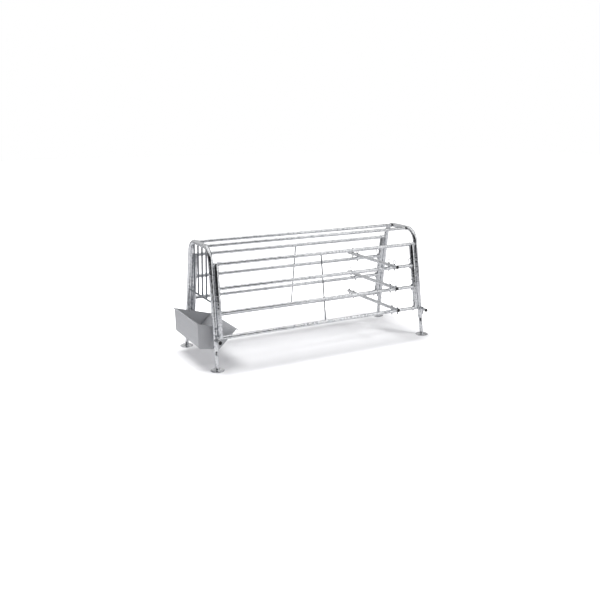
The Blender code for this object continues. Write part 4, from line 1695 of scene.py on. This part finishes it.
@dataclass
class Studio:
    """A white floor and backdrop, soft light, and the camera where the photographer stood."""

    image_px: int = 600
    focal_px: float = 720.3
    axis_row_px: float = 200.0
    sensor_mm: float = 36.0
    clip_end: float = 200.0
    azimuth_deg: float = -28.69
    elevation_deg: float = 6.71
    roll_deg: float = 0.13
    camera_from_front: Triple = (-2.2525, -5.970, 2.183)
    lamp_target: Triple = (0.0, 0.0, 0.3)
    softboxes: tuple[Softbox, ...] = (
        Softbox("right_softbox", (3.1, -2.7, 3.6), 1.1, 100.0),
        Softbox("top_softbox", (-1.2, 0.7, 4.5), 2.2, 155.0),
        Softbox("left_fill", (-4.6, 0.6, 1.6), 2.0, 42.0),
    )
    floor_size: float = 60.0
    floor_white: Colour = (0.93, 0.93, 0.94, 1.0)
    floor_mirrored: Colour = (0.70, 0.70, 0.71, 1.0)
    floor_roughness: float = 0.9
    floor_lift: float = 0.01
    shadow_half: Triple = (0.95, 0.35, 0.0)
    cove_reach: Span = (0.15, 0.75)
    room_soft: Colour = (0.26, 0.26, 0.27, 1.0)
    room_dark: str = "#1b1c1e"
    room_walls: tuple[RoomWall, ...] = (
        RoomWall((0.0, 0.0, 1.0), (0.52, 0.82), 1.0),
        RoomWall((0.80, -0.60, 0.0), (0.84, 0.92), 1.0),
        RoomWall((0.69, -0.52, 0.50), (0.84, 0.92), 1.0),
        RoomWall((-0.10, 0.99, 0.0), (0.30, 0.80), 0.60),
    )

    def build(self) -> None:
        """Set up the floor, the surroundings, the lamps and the camera."""
        self.build_floor()
        self.build_world()
        for softbox in self.softboxes:
            softbox.build(Vector(self.lamp_target))
        self.build_camera()
        bpy.context.scene.view_settings.view_transform = "Standard"

    def build_floor(self) -> None:
        """Build the floor, which keeps the crate's shadow and glows to pure white beyond it.

        The metal mirrors a darker floor than the camera sees, so that tubes keep their dark
        undersides.
        """
        shape = bmesh.new()
        bmesh.ops.create_grid(shape, x_segments=1, y_segments=1, size=self.floor_size / 2)
        floor = plain_object("studio_floor", shape)
        material, tree, shader = new_material("white_floor")
        rays = add_node(tree, "LightPath")
        glossy = rays.outputs["Is Glossy Ray"]
        tone = mix_colours(tree, glossy, self.floor_white, self.floor_mirrored)
        matt = {"Roughness": self.floor_roughness, "Specular IOR Level": 0.0}
        feed(shader, {"Base Color": tone, **matt})
        place = add_node(tree, "TexCoord").outputs["Object"]
        mirrored = add_node(tree, "VectorMath", (place,), operation="ABSOLUTE")
        beyond = add_node(tree, "VectorMath", (mirrored, self.shadow_half), operation="SUBTRACT")
        outside = add_node(tree, "VectorMath", (beyond, (0.0, 0.0, 0.0)), operation="MAXIMUM")
        distance = add_node(tree, "VectorMath", (outside,), operation="LENGTH").outputs["Value"]
        lift = add_node(tree, "MapRange", (distance, *self.cove_reach, self.floor_lift, 1.0))
        strength = add_node(
            tree, "Math", (lift, rays.outputs["Is Camera Ray"]), operation="MULTIPLY"
        )
        glow = add_node(tree, "Emission", {"Color": WHITE, "Strength": strength})
        both = add_node(tree, "AddShader", (shader, glow))
        feed(tree.nodes["Material Output"], {"Surface": both})
        floor.data.materials.append(material)

    def build_world(self) -> None:
        """Build the surroundings, which differ by the ray that reaches them.

        The camera sees white, the metal mirrors a dark room with lit walls and ceiling, and
        matt surfaces get an even dim light.
        """
        world = bpy.data.worlds.new("studio_room")
        bpy.context.scene.world = world
        world.use_nodes = True
        tree = world.node_tree
        rays = add_node(tree, "LightPath")
        way = add_node(tree, "TexCoord").outputs["Generated"]
        brightest = 0.0
        for wall in self.room_walls:
            cosine = add_node(tree, "VectorMath", (way, wall.direction), operation="DOT_PRODUCT")
            fade = (cosine.outputs["Value"], *wall.fade, 0.0, wall.level)
            glow = add_node(tree, "MapRange", fade)
            brightest = add_node(tree, "Math", (glow, brightest), operation="MAXIMUM")
        room = add_node(tree, "ValToRGB", (brightest,), {0.0: self.room_dark, 1.0: "#ffffff"})
        sharp = mix_colours(tree, rays.outputs["Is Camera Ray"], room, WHITE)
        even = mix_colours(tree, rays.outputs["Is Diffuse Ray"], sharp, self.room_soft)
        feed(tree.nodes["Background"], {"Color": even, "Strength": 1.0})

    def build_camera(self) -> None:
        """Stand the camera where the photograph was taken from."""
        camera = bpy.data.cameras.new("camera")
        camera.sensor_width = self.sensor_mm
        camera.lens = self.focal_px * camera.sensor_width / self.image_px
        camera.shift_y = (self.axis_row_px - self.image_px / 2) / self.image_px
        camera.clip_end = self.clip_end
        item = bpy.data.objects.new("camera", camera)
        spot = Vector((LINES.end_x(End.FRONT), 0.0, 0.0)) + Vector(self.camera_from_front)
        turns = ((self.azimuth_deg, "Z"), (90 - self.elevation_deg, "X"), (self.roll_deg, "Z"))
        heading, tilt, roll = (Matrix.Rotation(math.radians(turn), 4, axis) for turn, axis in turns)
        item.matrix_world = Matrix.Translation(spot) @ heading @ tilt @ roll
        bpy.context.scene.collection.objects.link(item)
        bpy.context.scene.camera = item


def main() -> None:
    """Build the crate's pieces on the frame, then the studio."""
    logging.basicConfig(level=logging.INFO, format="%(name)s: %(message)s")
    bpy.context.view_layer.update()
    shop = Workshop()
    for end in End:
        Arch(shop, end).build()
        for side in Side:
            Foot(shop, end, side).build()
    for side in Side:
        SidePanel(shop, side).build()
        TopTube(shop, side).build()
    HeadGrille(shop).build()
    Trough(shop).build()
    for rail in Rail:
        if rail.carries_bar:
            RetainingBar(shop, rail).build()
    shop.finish("crate_welds", shop.welds.shape, Finish.ZINC)
    Studio().build()
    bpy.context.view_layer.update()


if __name__ == "__main__":
    main()
